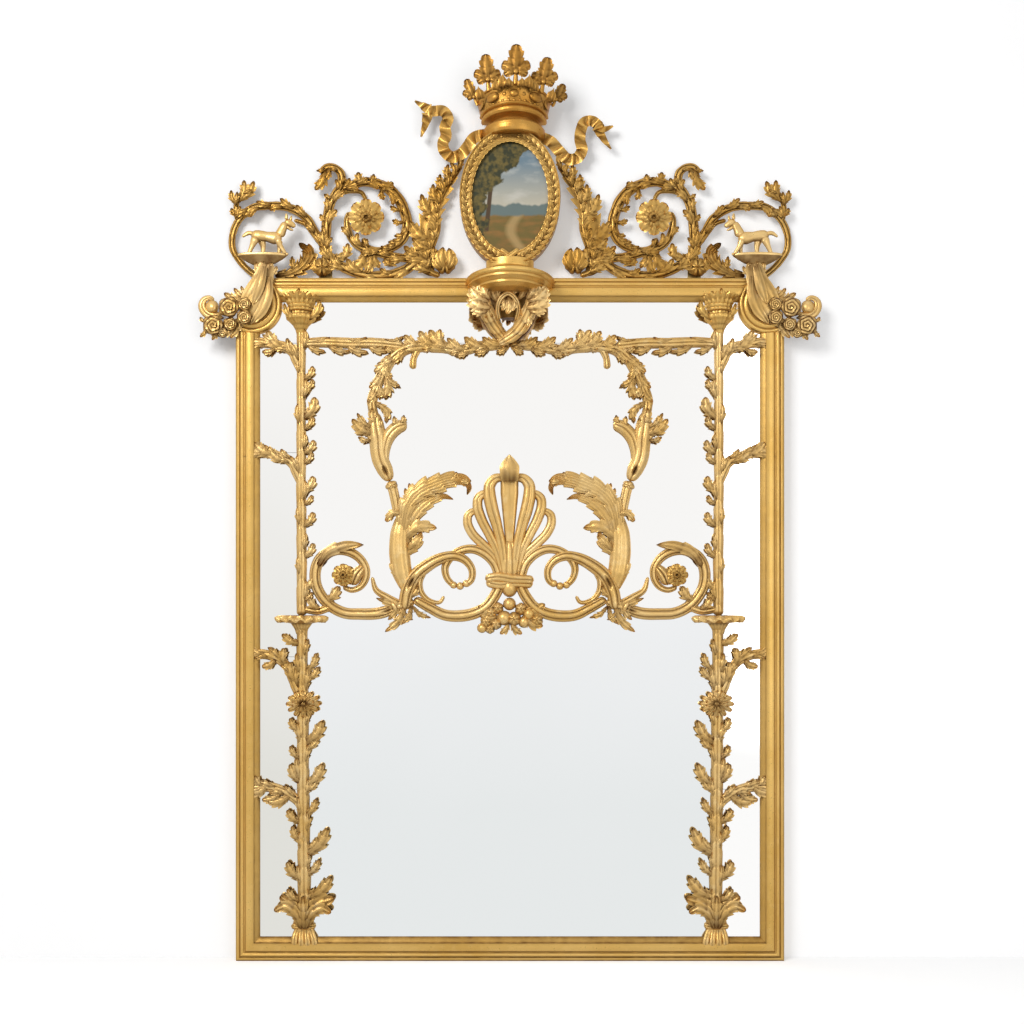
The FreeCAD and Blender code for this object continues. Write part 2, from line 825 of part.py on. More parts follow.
def make_columns():
    """Slender half-round columns: foot, lower shaft, drip pan, upper shaft, capital and arms."""
    x = -size.column_offset.value
    back = glass_front
    foot_x = x + pixel_length(foot_shift)
    tassel = [
        half_oval(foot_x, height_at(line), pixel_length(half), pixel_length(half), back.value)
        for line, half in foot_lines
    ]
    shapes = [stem(lower_column_route, size.column_width, (1.15, 1.05, 1.0), back), lofted(tassel)]
    shapes += leaves(lower_column_leaves, back)
    shapes += flower(*daisy, 12, back)
    pan_rings = [
        half_oval(x, height_at(line), size.pan_width.value * 0.5 * share,
                  size.pan_projection.value * share, back.value)
        for line, share in pan_lines
    ]
    pan = carve("column_pan_left", [lofted(pan_rings)])
    pair(pan)
    lower = carve("column_lower_left", shapes, (node("rail_bottom"), pan))
    pair(lower)
    shapes = [stem(upper_column_route, size.column_width, (1.05, 0.95, 0.9), back)]
    shapes += leaves(upper_column_leaves, back)

    capital = doc.addObject("PartDesign::Body", "capital_blank")
    outline = [(0.0, 0.0)]
    outline += [(size.capital_radius * r, size.capital_height * z) for r, z in capital_shares]
    top = size.capital_height + size.capital_finial
    outline += [
        (size.capital_radius * 0.2, size.capital_height),
        (size.capital_radius * 0.12, top),
        (0.0, top),
    ]
    turn(capital, draw(capital, "capital_section", "XZ_Plane", outline), 180.0)
    capital.Placement = FreeCAD.Placement(Vector(), FreeCAD.Rotation(Vector(0, 0, 1), 180.0))
    base = line_height(capital_line)
    place(capital, -size.column_offset, -glass_front, base)
    seat = combine("Part::Cut", "column_capital_left", capital, [node("rail_top")])
    keep(seat, "column_capital_left")
    doc.recompute()
    pair(seat)
    upper = carve("column_upper_left", shapes, (pan, seat))
    pair(upper)
    shapes = []
    for route in arm_routes:
        shapes.append(stem(route, size.stem_width, arm_width_shares, back))
    shapes += leaves(arm_leaves, back)
    pair(carve("margin_arms_left", shapes, (lower, upper, node("stile_left"))))


# Vines, horns and scrolls on the mirror plates, left side.
rod_route = ((303, 343), (325, 342), (350, 343), (375, 343), (402, 345))
rod_leaves = (
    ((318, 342), (330, 352), 0.5),
    ((338, 342), (348, 353), 0.5),
    ((355, 342), (364, 352), 0.5),
    ((374, 342), (385, 352), 0.5),
    ((312, 341), (322, 335), 0.5),
    ((366, 341), (378, 335), 0.5),
)
vine_route = (
    (510, 346), (495, 345), (480, 346), (460, 350), (440, 347), (420, 346), (405, 349), (393, 357),
    (386, 367), (380, 378), (375, 390), (372, 402), (374, 415), (379, 428),
)
vine_leaves = (
    ((448, 345), (425, 331), 0.5),
    ((424, 344), (403, 335), 0.5),
    ((407, 351), (416, 369), 0.5),
    ((381, 376), (400, 384), 0.55),
    ((383, 375), (372, 365), 0.6),
    ((377, 384), (389, 398), 0.6),
    ((374, 398), (362, 388), 0.6),
    ((374, 402), (389, 414), 0.7),
    ((498, 343), (480, 334), 0.5),
    ((470, 347), (459, 338), 0.5),
)
horn_route = (
    (381, 423), (378, 440), (378, 450), (380.5, 460), (385, 470), (389, 478), (392.5, 485), (395, 496),
    (398, 514),
)
horn_width_shares = (1.0, 0.68, 0.6, 0.56, 0.5, 0.4, 0.42, 0.34, 0.32)
horn_leaves = (
    ((374, 436), (352, 420), 0.6),
    ((373, 428), (362, 412), 0.6),
    ((388, 432), (409, 418), 0.6),
    ((384, 428), (396, 413), 0.6),
)
acanthus_route = (
    (408, 592), (402, 570), (400, 550), (400, 530), (401, 510), (406, 494), (418, 485), (434, 481),
    (452, 477), (464, 480), (470, 487), (468, 495),
)
acanthus_width_shares = (0.7, 0.95, 0.9, 0.75, 0.75, 0.8, 0.9, 0.85, 0.75, 0.55, 0.35, 0.15)
acanthus_leaves = (
    ((404, 522), (437, 500), 0.45),
    ((408, 514), (454, 499), 0.35),
    ((404, 545), (437, 523), 0.5),
    ((403, 560), (426, 540), 0.5),
    ((399, 528), (385, 512), 0.6),
    ((398, 550), (386, 533), 0.5),
    ((420, 485), (414, 474), 0.6),
    ((440, 480), (436, 471), 0.6),
)
outer_scroll_route = (
    (412, 601), (395, 608), (380, 613), (360, 614), (345, 613), (332, 607), (322, 597), (316, 585),
    (315, 572), (319, 560), (328, 552), (340, 550), (352, 553), (361, 560), (366, 570), (365, 580),
    (360, 587), (352, 590), (343, 587),
)
lower_scroll_route = (
    (499, 585), (494, 597), (486, 607), (475, 613), (460, 616), (445, 615), (430, 608), (416, 600),
)
inner_scroll_route = (
    (406, 606), (407, 590), (415, 575), (428, 564), (442, 557), (455, 556), (465, 560), (472, 570),
    (471, 580), (464, 586),
)
ring_scroll_route = (
    (498, 578), (493, 562), (485, 553), (472, 548), (460, 551), (450, 558), (444, 568), (446, 578),
    (454, 586),
)
tendril_route = ((430, 565), (421, 578), (421, 592), (430, 601), (440, 602), (444, 596))
spur_route = ((330, 605), (318, 610), (305, 609))
curl_route = ((398, 603), (386, 596), (376, 590), (373, 577))
scroll_leaves = (
    ((330, 553), (362, 543), 0.3),
    ((326, 601), (337, 587), 0.6),
    ((318, 610), (310, 597), 0.6),
    ((392, 608), (388, 634), 0.5),
    ((400, 608), (402, 632), 0.5),
    ((356, 590), (357, 574), 0.5),
    ((340, 551), (322, 545), 0.4),
)
palmette_lobes = (
    ((509.5, 575), (509.5, 545), (509.5, 510), (509.5, 490), (509.5, 474)),
    ((506, 572), (501, 542), (494, 514), (489.5, 493), (491, 473)),
    ((504, 572), (495, 546), (484.5, 524), (478, 508), (481, 490)),
    ((502, 572), (489, 549), (475, 535), (468.5, 522), (473, 507)),
)
palmette_width_shares = (
    (0.36, 0.45, 0.66, 0.85, 0.95),
    (0.34, 0.42, 0.58, 0.68, 0.92),
    (0.34, 0.40, 0.54, 0.64, 0.78),
    (0.34, 0.40, 0.48, 0.52, 0.54),
)
tie_lines = ((572.0, 0.84), (575.0, 0.96), (580.0, 1.0), (585.0, 0.96), (588.0, 0.86))
tie_pixels = 26.0
bud_pixels = ((509.5, 478), (509.5, 456))
pendant = ((509.5, 588), 8.0)
swag_pixels = (
    (509.5, 606, 7.0), (498, 608, 6.0), (491, 613, 6.0), (504, 618, 8.0), (514, 619, 8.0),
    (521, 609, 6.5), (529, 614, 6.5), (536, 620, 7.0), (486, 622, 7.0), (482, 628, 6.0), (490, 629, 6.0),
)
scroll_rosette = ((342, 574), 14.0)


def make_mirror_carving():
    """The palmette, the scrolls that grow from it, and the vines that climb to the shelf."""
    back = glass_front
    depth = pixel_length(tie_pixels) * 0.45
    x = elevation(pendant[0])[0]
    tie_rings = [
        half_oval(x, height_at(line), pixel_length(tie_pixels) * share, depth * share, back.value)
        for line, share in tie_lines
    ]
    lobes = []
    for route, shares in zip(palmette_lobes, palmette_width_shares):
        lobe = stem(route, size.stem_width * 1.5, shares, back, 0.7)
        lobes.append(lobe)
        if route[0][0] != pendant[0][0]:
            lobes.append(lobe.mirror(Vector(x, 0, 0), Vector(1, 0, 0)))
    lobes += [
        leaf(*bud_pixels, 0.85, back, 1.6, petal_outline_shares),
        dome(*pendant, back),
        lofted(tie_rings),
    ]
    palmette = carve("palmette", lobes)

    width = size.stem_width
    shapes = [
        stem(outer_scroll_route, width, (1.0, 1.0, 0.95, 0.8, 0.6, 0.3), back),
        stem(lower_scroll_route, width, (0.9, 1.0, 1.0, 0.8), back),
        stem(inner_scroll_route, width, (1.0, 1.0, 0.9, 0.7, 0.4), back),
        stem(ring_scroll_route, width, (0.9, 0.85, 0.75, 0.6, 0.35), back),
        stem(tendril_route, width, (0.5, 0.45, 0.25), back),
        stem(spur_route, width, (0.6, 0.5), back),
        stem(curl_route, width, (0.7, 0.5, 0.25), back),
    ]
    shapes += leaves(scroll_leaves, back)
    scroll = carve("scroll_left", shapes, (palmette, node("column_upper_left"), node("column_pan_left")))
    scroll_right = pair(scroll)
    acanthus = carve(
        "acanthus_left",
        [stem(acanthus_route, width * 1.7, acanthus_width_shares, back, 0.6)] + leaves(acanthus_leaves, back),
        (scroll,),
    )
    pair(acanthus)
    horn = carve(
        "cornucopia_left",
        [stem(horn_route, width * 2.4, horn_width_shares, back, 0.75)] + leaves(horn_leaves, back),
        (acanthus,),
    )
    pair(horn)
    vine = carve(
        "vine_arch_left",
        [stem(vine_route, size.vine_width, (1.0, 1.0, 1.0, 0.9, 0.9), back)] + leaves(vine_leaves, back),
        (horn, right_half()),
    )
    pair(vine)
    rail = [stem(rod_route, size.vine_width, (0.8, 0.8), back)] + leaves(rod_leaves, back)
    pair(carve("vine_rod_left", rail, (vine, node("column_upper_left"), node("margin_arms_left"))))
    doc.recompute()
    fruit = [dome((column, line), radius, back) for column, line, radius in swag_pixels]
    carve("fruit_swag", fruit, (palmette, scroll, scroll_right))


# The shelf, the picture and the crown over it.
shelf_shares = ((1.0, 0.95), (0.85, 1.0), (0.25, 1.0), (0.0, 0.9))
corbel_shares = ((1.0, 0.9), (0.88, 0.78), (0.72, 0.58), (0.4, 0.36), (0.0, 0.2))
branch_routes = (
    ((480, 292), (485, 306), (491, 320), (499, 332), (509, 343)),
    ((537, 292), (531, 306), (525, 320), (516, 332), (498, 344)),
)
branch_width_shares = (1.5, 1.9, 2.0, 1.7, 1.1)
boss_leaves = (
    ((490, 286), (468, 302), 0.9),
    ((528, 286), (549, 302), 0.9),
    ((484, 302), (470, 316), 0.7),
    ((531, 302), (543, 316), 0.7),
)
crown_shares = (
    (0.81, 0.0), (0.81, 0.22), (0.75, 0.25), (0.75, 0.29), (0.86, 0.31), (0.86, 0.58), (0.82, 0.62),
    (0.94, 0.65), (0.94, 0.70), (0.91, 0.74), (0.94, 0.90), (1.0, 0.94), (1.0, 1.0), (0.92, 1.0),
    (0.86, 0.74),
)
crown_bulge_shares = {5: 0.25}
crown_leaf_angles = (-82.0, -45.0, 0.0, 45.0, 82.0)
crown_leaf_shares = (0.75, 0.95, 1.0, 0.95, 0.75)


def oval_disc(label, width, height, depth, front, centre):
    """An upright oval board; its front face is at a depth from the wall."""
    edge = doc.addObject("Part::Ellipse", f"{label}_edge")
    edge.setExpression("MajorRadius", (height * 0.5).text)
    edge.setExpression("MinorRadius", (width * 0.5).text)
    turned = FreeCAD.Rotation(Vector(0, 0, 1), Vector(1, 0, 0), Vector(0, 1, 0), "XYZ")
    edge.Placement = FreeCAD.Placement(Vector(), turned)
    place(edge, 0.0, -front, centre)
    disc = doc.addObject("Part::Extrusion", label)
    disc.Base = edge
    disc.DirMode = "Custom"
    disc.Dir = Vector(0, 1, 0)
    disc.setExpression("LengthFwd", depth.text)
    disc.Solid = True
    return disc


def make_picture():
    """Oval picture frame on the batten, its panel held in a rebate from behind."""
    centre = size.frame_height + size.medallion_rise + size.medallion_height * 0.5
    front = size.batten_thickness + size.medallion_depth
    lip = size.panel_lip * 2.0
    panel_front = front - size.panel_setback
    body = oval_disc("medallion_body", size.medallion_width, size.medallion_height, size.medallion_depth,
                     front, centre)
    sight = oval_disc("medallion_sight", size.opening_width, size.opening_height,
                      size.medallion_depth + size.cut_overrun * 2.0, front + size.cut_overrun, centre)
    rebate = oval_disc("medallion_rebate", size.opening_width + lip, size.opening_height + lip,
                       size.medallion_depth + size.cut_overrun, panel_front, centre)
    ring = combine("Part::Cut", "medallion_ring", body, [sight, rebate])
    doc.recompute()
    moulded = doc.addObject("Part::Fillet", "medallion_frame")
    moulded.Base = ring
    rounding = min(size.medallion_width.value - size.opening_width.value, size.medallion_depth.value) * 0.2
    hair = size.cut_overrun.value * 0.002
    edges = []
    for index, edge in enumerate(ring.Shape.Edges, start=1):
        if abs(edge.BoundBox.YMin + front.value) < hair and edge.BoundBox.YLength < hair:
            edges.append((index, rounding, rounding))
    moulded.Edges = edges
    keep(moulded, "medallion_frame")
    play = size.panel_play * 2.0
    panel = oval_disc("medallion_panel", size.opening_width + lip - play, size.opening_height + lip - play,
                      size.panel_thickness, panel_front, centre)
    keep(panel, "medallion_panel")
    doc.recompute()


def make_shelf():
    """D-shaped shelf on a corbel in front of the top rail, with a plinth and crossed branches."""
    back = glass_front
    half = size.shelf_width.value * 0.5
    reach = size.shelf_projection.value - back.value
    top = size.frame_height.value - size.shelf_drop.value
    low = top - size.shelf_thickness.value
    rings = [
        half_oval(0.0, low + size.shelf_thickness.value * z, half * share, reach * share, back.value)
        for z, share in shelf_shares
    ]
    under = low - size.corbel_height.value
    corbel = [
        half_oval(0.0, under + size.corbel_height.value * z, half * share, reach * share, back.value)
        for z, share in corbel_shares
    ]
    depth = size.plinth_depth.value
    rise = size.shelf_drop.value + size.medallion_rise.value * 1.8
    behind = size.batten_thickness.value + size.crest_setback.value
    plinth = Part.makeBox(size.plinth_width.value, depth, rise,
                          Vector(-size.plinth_width.value * 0.5, -depth - behind, top))
    bosses = leaves(boss_leaves, size.frame_depth, 3.0)
    shelf = carve("shelf_bracket", [lofted(rings), lofted(corbel), plinth, *bosses],
                  (node("rail_top"), doc.getObject("medallion_body")))
    branches = [stem(route, size.vine_width, branch_width_shares, back, 1.7) for route in branch_routes]
    carve("bracket_branches", branches, (shelf, node("rail_top"), node("vine_arch_left"),
                                         node("vine_arch_right")))


def make_crown():
    """Half-round crown on top of the picture frame, flat against the batten."""
    crown = doc.addObject("PartDesign::Body", "crown_blank")
    outline = [(0.0, 0.0)]
    outline += [(size.crown_radius * r, size.crown_height * z) for r, z in crown_shares]
    outline += [(0.0, size.crown_height * 0.68)]
    turn(crown, draw(crown, "crown_section", "XZ_Plane", outline, crown_bulge_shares), 180.0)
    crown.Placement = FreeCAD.Placement(Vector(), FreeCAD.Rotation(Vector(0, 0, 1), 180.0))
    base = size.frame_height + size.medallion_rise + size.medallion_height - size.crown_lap
    place(crown, size.crown_shift, -size.batten_thickness, base)
    seat = doc.getObject("medallion_body")
    keep(combine("Part::Cut", "crown_circlet", crown, [seat]), "crown_circlet")
    doc.recompute()
    shapes = []
    rim = base.value + size.crown_height.value
    for angle, share in zip(crown_leaf_angles, crown_leaf_shares):
        height = size.crown_leaf_height.value * share
        shape = flat_leaf(height, height * 0.75, size.leaf_rise.value, size.leaf_edge.value,
                          trefoil_outline_shares)
        shape.rotate(Vector(), Vector(1, 0, 0), 12.0)
        shape.translate(Vector(0, -size.crown_radius.value * 0.95, rim))
        shape.rotate(Vector(), Vector(0, 0, 1), angle)
        shape.translate(Vector(size.crown_shift.value, -size.batten_thickness.value, 0))
        shapes.append(shape)
    carve("crown_leaves", shapes, (node("crown_circlet"),))


# The cresting, left side.
ribbon_routes = {
    "ribbon_left": (
        (489, 134), (470, 139), (463, 152), (451, 157), (443, 149), (444, 138), (448, 126), (452, 116),
        (444, 106), (435, 105), (426, 108), (416, 102),
    ),
    "ribbon_right": (
        (531, 135), (551, 142), (560, 152), (568, 160), (580, 158), (583, 148), (580, 135), (584, 123),
        (591, 119), (598, 126), (604, 130), (611, 130),
    ),
}
crest_acanthus_route = ((432, 277), (424, 262), (424, 245), (428, 225), (433, 205), (443, 185), (458, 166))
crest_acanthus_width_shares = (0.7, 1.0, 1.1, 0.9, 0.8, 0.6, 0.3)
crest_acanthus_leaves = (
    ((430, 262), (405, 249), 0.5),
    ((430, 240), (409, 222), 0.5),
    ((434, 212), (419, 193), 0.5),
    ((444, 190), (438, 172), 0.5),
    ((430, 275), (416, 262), 0.5),
)
crest_ball = ((445, 266), 9.5)
crest_stem_routes = (
    ((428, 264), (418, 264), (405, 270), (395, 274), (380, 276), (360, 274), (345, 268), (332, 260),
     (325, 248), (326, 235), (327, 220), (330, 205), (335, 195), (341, 185), (340, 172), (335, 168),
     (328, 167), (320, 173)),
    ((341, 189), (355, 184), (365, 182), (378, 184), (390, 190), (398, 198), (404, 210), (407, 222),
     (406, 232), (400, 242), (390, 248), (378, 251), (368, 248), (363, 238)),
    ((424, 256), (405, 258), (390, 256), (375, 252), (362, 248), (353, 241), (348, 230), (347, 220),
     (350, 212)),
    ((338, 194), (350, 191), (362, 193), (366, 200)),
    ((326, 250), (320, 240), (314, 230), (308, 220), (300, 213), (290, 208), (280, 206), (265, 206),
     (255, 207), (245, 213), (236, 225), (232, 240), (233, 250), (239, 257)),
    ((320, 243), (312, 232), (305, 224), (294, 220)),
    ((238, 222), (236, 208), (240, 196), (250, 188)),
)
crest_stem_shares = (
    (1.0, 1.0, 0.9, 0.8, 0.7, 0.5),
    (0.8, 1.0, 1.0, 0.8, 0.4),
    (0.9, 0.9, 0.7, 0.4),
    (0.5, 0.3),
    (0.7, 0.8, 0.8, 0.7, 0.6),
    (0.5, 0.3),
    (0.5, 0.4),
)
crest_leaves = (
    ((322, 172), (316, 190), 0.6),
    ((364, 258), (358, 272), 0.7),
    ((380, 262), (392, 256), 0.7),
    ((336, 262), (330, 244), 0.6),
    ((384, 190), (388, 182), 0.9),
    ((364, 183), (360, 173), 0.8),
    ((402, 212), (391, 206), 0.6),
    ((405, 228), (394, 226), 0.6),
    ((240, 214), (250, 208), 0.7),
    ((239, 200), (248, 182), 0.6),
    ((238, 206), (233, 190), 0.5),
    ((322, 274), (320, 256), 0.9),
    ((380, 274), (366, 262), 0.6),
    ((330, 262), (316, 268), 0.8),
)
crest_rosette = ((366, 217), 18.0)
leaf_block = ((322, 277), 9.5)


def make_cresting():
    """Acanthus, scrolls with rosettes, and ribbons, all standing on the top rail."""
    back = size.crest_setback
    width = size.crest_stem_width
    picture = doc.getObject("medallion_body")
    rail = node("rail_top")
    acanthus = carve(
        "crest_acanthus_left",
        [stem(crest_acanthus_route, width * 2.4, crest_acanthus_width_shares, back, 0.7),
         dome(*crest_ball, back)] + leaves(crest_acanthus_leaves, back, 2.0),
        (rail, picture, node("shelf_bracket")),
    )
    pair(acanthus)
    shapes = [
        stem(route, width, shares, back, 1.6) for route, shares in zip(crest_stem_routes, crest_stem_shares)
    ]
    shapes += leaves(crest_leaves, back, 1.6)
    shapes.append(dome(*leaf_block, back))
    scroll = carve("crest_scroll_left", shapes, (rail, acanthus, node("wall_plates")))
    pair(scroll)
    doc.recompute()
    for label, route in ribbon_routes.items():
        side = label.split("_")[1]
        ribbon = stem(route, size.ribbon_width, (1.0, 0.9, 1.0, 0.9, 1.0), size.batten_thickness, 0.8)
        carve(label, [ribbon], (picture, node("crown_circlet"), node(f"crest_acanthus_{side}")))
    heads = []
    for side in (-1.0, 1.0):
        for (pixel, radius), seat in ((scroll_rosette, glass_front), (crest_rosette, back)):
            column = photo_axis_x + (pixel[0] - photo_axis_x) * -side
            heads.append(flower((column, pixel[1]), radius, 8, seat))
    scrolls = [node(f"{name}_{side}") for name in ("scroll", "crest_scroll") for side in ("left", "right")]
    carve("rosettes", [head[0].multiFuse(head[1:]) for head in heads], scrolls)


# The corner consoles and the hounds on them.
dish_lines = (
    (252.5, 0.94, 262.5), (255.5, 1.0, 262.5), (258.5, 0.8, 263.5), (262.0, 0.42, 265.0),
    (266.0, 0.26, 266.0), (272.0, 0.26, 267.0), (278.0, 0.36, 267.0),
)
dish_pixels = 24.5
stance_pixels = 2.6
bract_route = ((268, 268), (258, 280), (250, 295), (246, 315), (246, 332))
bract_width_shares = (0.6, 0.9, 1.1, 0.8, 0.35)
volute_route = (
    (246, 300), (232, 299), (220, 297), (210, 298), (203, 305), (203, 312), (208, 316), (213, 312),
    (210, 308),
)
garland_route = ((247, 316), (235, 321), (222, 326), (208, 326))
console_flowers = (((229, 307), 9.0), ((243, 312), 8.0), ((208, 325), 9.5))
console_leaves = (
    ((242, 299), (224, 291), 0.6),
    ((232, 322), (224, 336), 0.7),
    ((216, 326), (214, 338), 0.7),
    ((262, 276), (274, 292), 0.6),
)
hound_limbs = (
    (((251, 235), (258, 235.5), (266, 237), (274, 238), (281, 238)), (3.8, 5.8, 6.0, 7.0, 5.0), 0.0),
    (((278, 237), (282, 229), (287, 222)), (6.4, 5.0, 3.6), 0.0),
    (((284, 221), (290, 223.5), (296.5, 227.5)), (3.8, 4.0, 2.2), 0.0),
    (((256, 237), (253, 244), (248.5, 254)), (4.8, 2.6, 1.7), 1.0),
    (((261, 238), (263, 246), (263, 254.5)), (4.6, 2.3, 1.8), -1.0),
    (((279, 240), (280, 247), (279.5, 254.5)), (4.2, 2.1, 1.7), 1.0),
    (((281, 239), (283.5, 246), (285.5, 254)), (3.8, 2.0, 1.7), -1.0),
    (((254, 234), (249, 233.5), (242, 237)), (2.4, 2.5, 1.1), 0.0),
    (((286, 220), (286.5, 216.5), (286, 213.5)), (1.9, 1.6, 0.5), 0.6),
    (((289, 221), (290, 218), (290.5, 216)), (1.8, 1.4, 0.5), -0.6),
)


def make_corners():
    """Consoles with roses in the notched corners, each with a dish that carries a hound."""
    middle = size.dog_depth.value
    half = pixel_length(dish_pixels)
    spread = size.pedestal_depth.value * 0.5
    rings = [
        oval(elevation((column, line))[0], -middle, height_at(line), half * share, spread * share)
        for line, share, column in dish_lines
    ]
    back = size.frame_depth * 0.6
    width = size.stem_width * 1.5
    shapes = [
        lofted(rings),
        stem(bract_route, width, bract_width_shares, back, 1.8),
        stem(volute_route, width, (0.6, 0.55, 0.45, 0.3), back, 1.4),
        stem(garland_route, width, (0.6, 0.6, 0.5), back, 1.2),
    ]
    for centre, radius in console_flowers:
        shapes += flower(centre, radius, 6, back)
    shapes += leaves(console_leaves, back, 1.5)
    console = carve(
        "corner_console_left", shapes,
        (node("corner_moulding_left"), node("stile_left"), node("rail_top"), node("crest_scroll_left")),
    )
    pair(console)
    stance = pixel_length(stance_pixels)
    limbs = [tube(points, radii, middle + stance * side) for points, radii, side in hound_limbs]
    pair(carve("dog_left", limbs, (console, node("crest_scroll_left"))))


def main():
    scribes, top_blank = make_frame()
    make_glazing(scribes)
    make_back_fixings(scribes, top_blank)
    doc.recompute()
    make_columns()
    doc.recompute()
    make_mirror_carving()
    make_picture()
    make_shelf()
    make_crown()
    make_cresting()
    make_corners()
    doc.recompute()
    for item in doc.Objects:
        if {"Invalid", "Error"} & set(item.State):
            raise RuntimeError(f"{item.Label} did not build")
    for item in sub_parts:
        if item.Shape.isNull() or not item.Shape.isValid():
            raise RuntimeError(f"{item.Label} has no valid shape")
    os.makedirs("parts", exist_ok=True)
    for item in sub_parts:
        item.Shape.exportStep(f"parts/{item.Label}.step")
    print(len(sub_parts), "pieces,", sum(len(item.Shape.Solids) for item in sub_parts), "solids")


main()
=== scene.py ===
import bpy
import numpy as np
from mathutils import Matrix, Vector


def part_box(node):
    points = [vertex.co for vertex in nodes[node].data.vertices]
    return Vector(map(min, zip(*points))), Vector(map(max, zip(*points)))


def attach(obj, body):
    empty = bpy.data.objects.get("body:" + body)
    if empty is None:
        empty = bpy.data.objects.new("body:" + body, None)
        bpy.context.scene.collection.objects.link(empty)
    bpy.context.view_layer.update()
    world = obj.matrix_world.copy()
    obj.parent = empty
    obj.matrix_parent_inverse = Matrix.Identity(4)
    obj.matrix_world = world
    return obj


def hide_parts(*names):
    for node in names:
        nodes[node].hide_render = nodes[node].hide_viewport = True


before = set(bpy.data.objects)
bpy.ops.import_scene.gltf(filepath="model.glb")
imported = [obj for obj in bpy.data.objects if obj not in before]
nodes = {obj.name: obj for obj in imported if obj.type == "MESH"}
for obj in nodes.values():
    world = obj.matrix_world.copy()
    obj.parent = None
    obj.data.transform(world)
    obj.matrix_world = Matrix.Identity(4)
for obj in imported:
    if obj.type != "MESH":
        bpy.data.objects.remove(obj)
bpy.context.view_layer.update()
print("frame loaded:", len(nodes), "nodes")

# The photograph's view: a level camera before the shelf, 3 mm to a pixel on the plane of the carving
shot = {"eye": (0.0, -3.65, 1.056), "plane": -0.05, "pixel": 0.003, "axis": 510.0, "level": 610.0,
        "side": 1024.0}
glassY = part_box("plate_top")[0].y
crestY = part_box("crest_scroll_left")[1].y
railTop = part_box("rail_top")[1].z


# Surfaces

def at(columns, lines, y):
    # A pixel's column and line carried along the camera's ray to the depth y, in metres
    scale = shot["pixel"] * (y - shot["eye"][1]) / (shot["plane"] - shot["eye"][1])
    x = (columns - shot["axis"]) * scale
    return np.stack(np.broadcast_arrays(x, y, shot["eye"][2] + (shot["level"] - lines) * scale), -1)


def smooth(points, step):
    # Cubic through the points with tangents from their neighbours, then evenly spaced along its length
    knots = np.asarray(points, float)
    reach = np.r_[0.0, np.cumsum(np.linalg.norm(np.diff(knots, axis=0), axis=1))]
    count = max(8, int(reach[-1] / step))
    slope = np.gradient(knots, reach, axis=0)
    fine = np.linspace(0.0, reach[-1], 6 * count)
    i = np.clip(np.searchsorted(reach, fine, side="right") - 1, 0, len(knots) - 2)
    span = (reach[i + 1] - reach[i])[:, None]
    t = (fine - reach[i])[:, None] / span
    line = ((2 * t - 3) * t * t + 1) * knots[i] + ((t - 2) * t + 1) * t * span * slope[i]
    line = line + (3 - 2 * t) * t * t * knots[i + 1] + (t - 1) * t * t * span * slope[i + 1]
    run = np.r_[0.0, np.cumsum(np.linalg.norm(np.diff(line, axis=0), axis=1))]
    even = np.linspace(0.0, run[-1], count)
    line = np.stack([np.interp(even, run, line[:, k]) for k in range(2)], 1)
    tangent = np.gradient(line, axis=0)
    tangent = tangent / np.linalg.norm(tangent, axis=1)[:, None]
    return line, tangent, np.stack([-tangent[:, 1], tangent[:, 0]], 1), even


def spread(values, count):
    # A short list of values read evenly along count places
    return np.interp(np.linspace(0, 1, count), np.linspace(0, 1, len(values)), values)


def lifted(line, across, ahead, height, side, tangent, back):
    # Offsets from a line, in pixels, and heights off the back plane, in pixels of 3 mm
    column = line[:, None, 0] + side[:, None, 0] * across + tangent[:, None, 0] * ahead
    row = line[:, None, 1] + side[:, None, 1] * across + tangent[:, None, 1] * ahead
    return at(column, row, back - height * shot["pixel"])


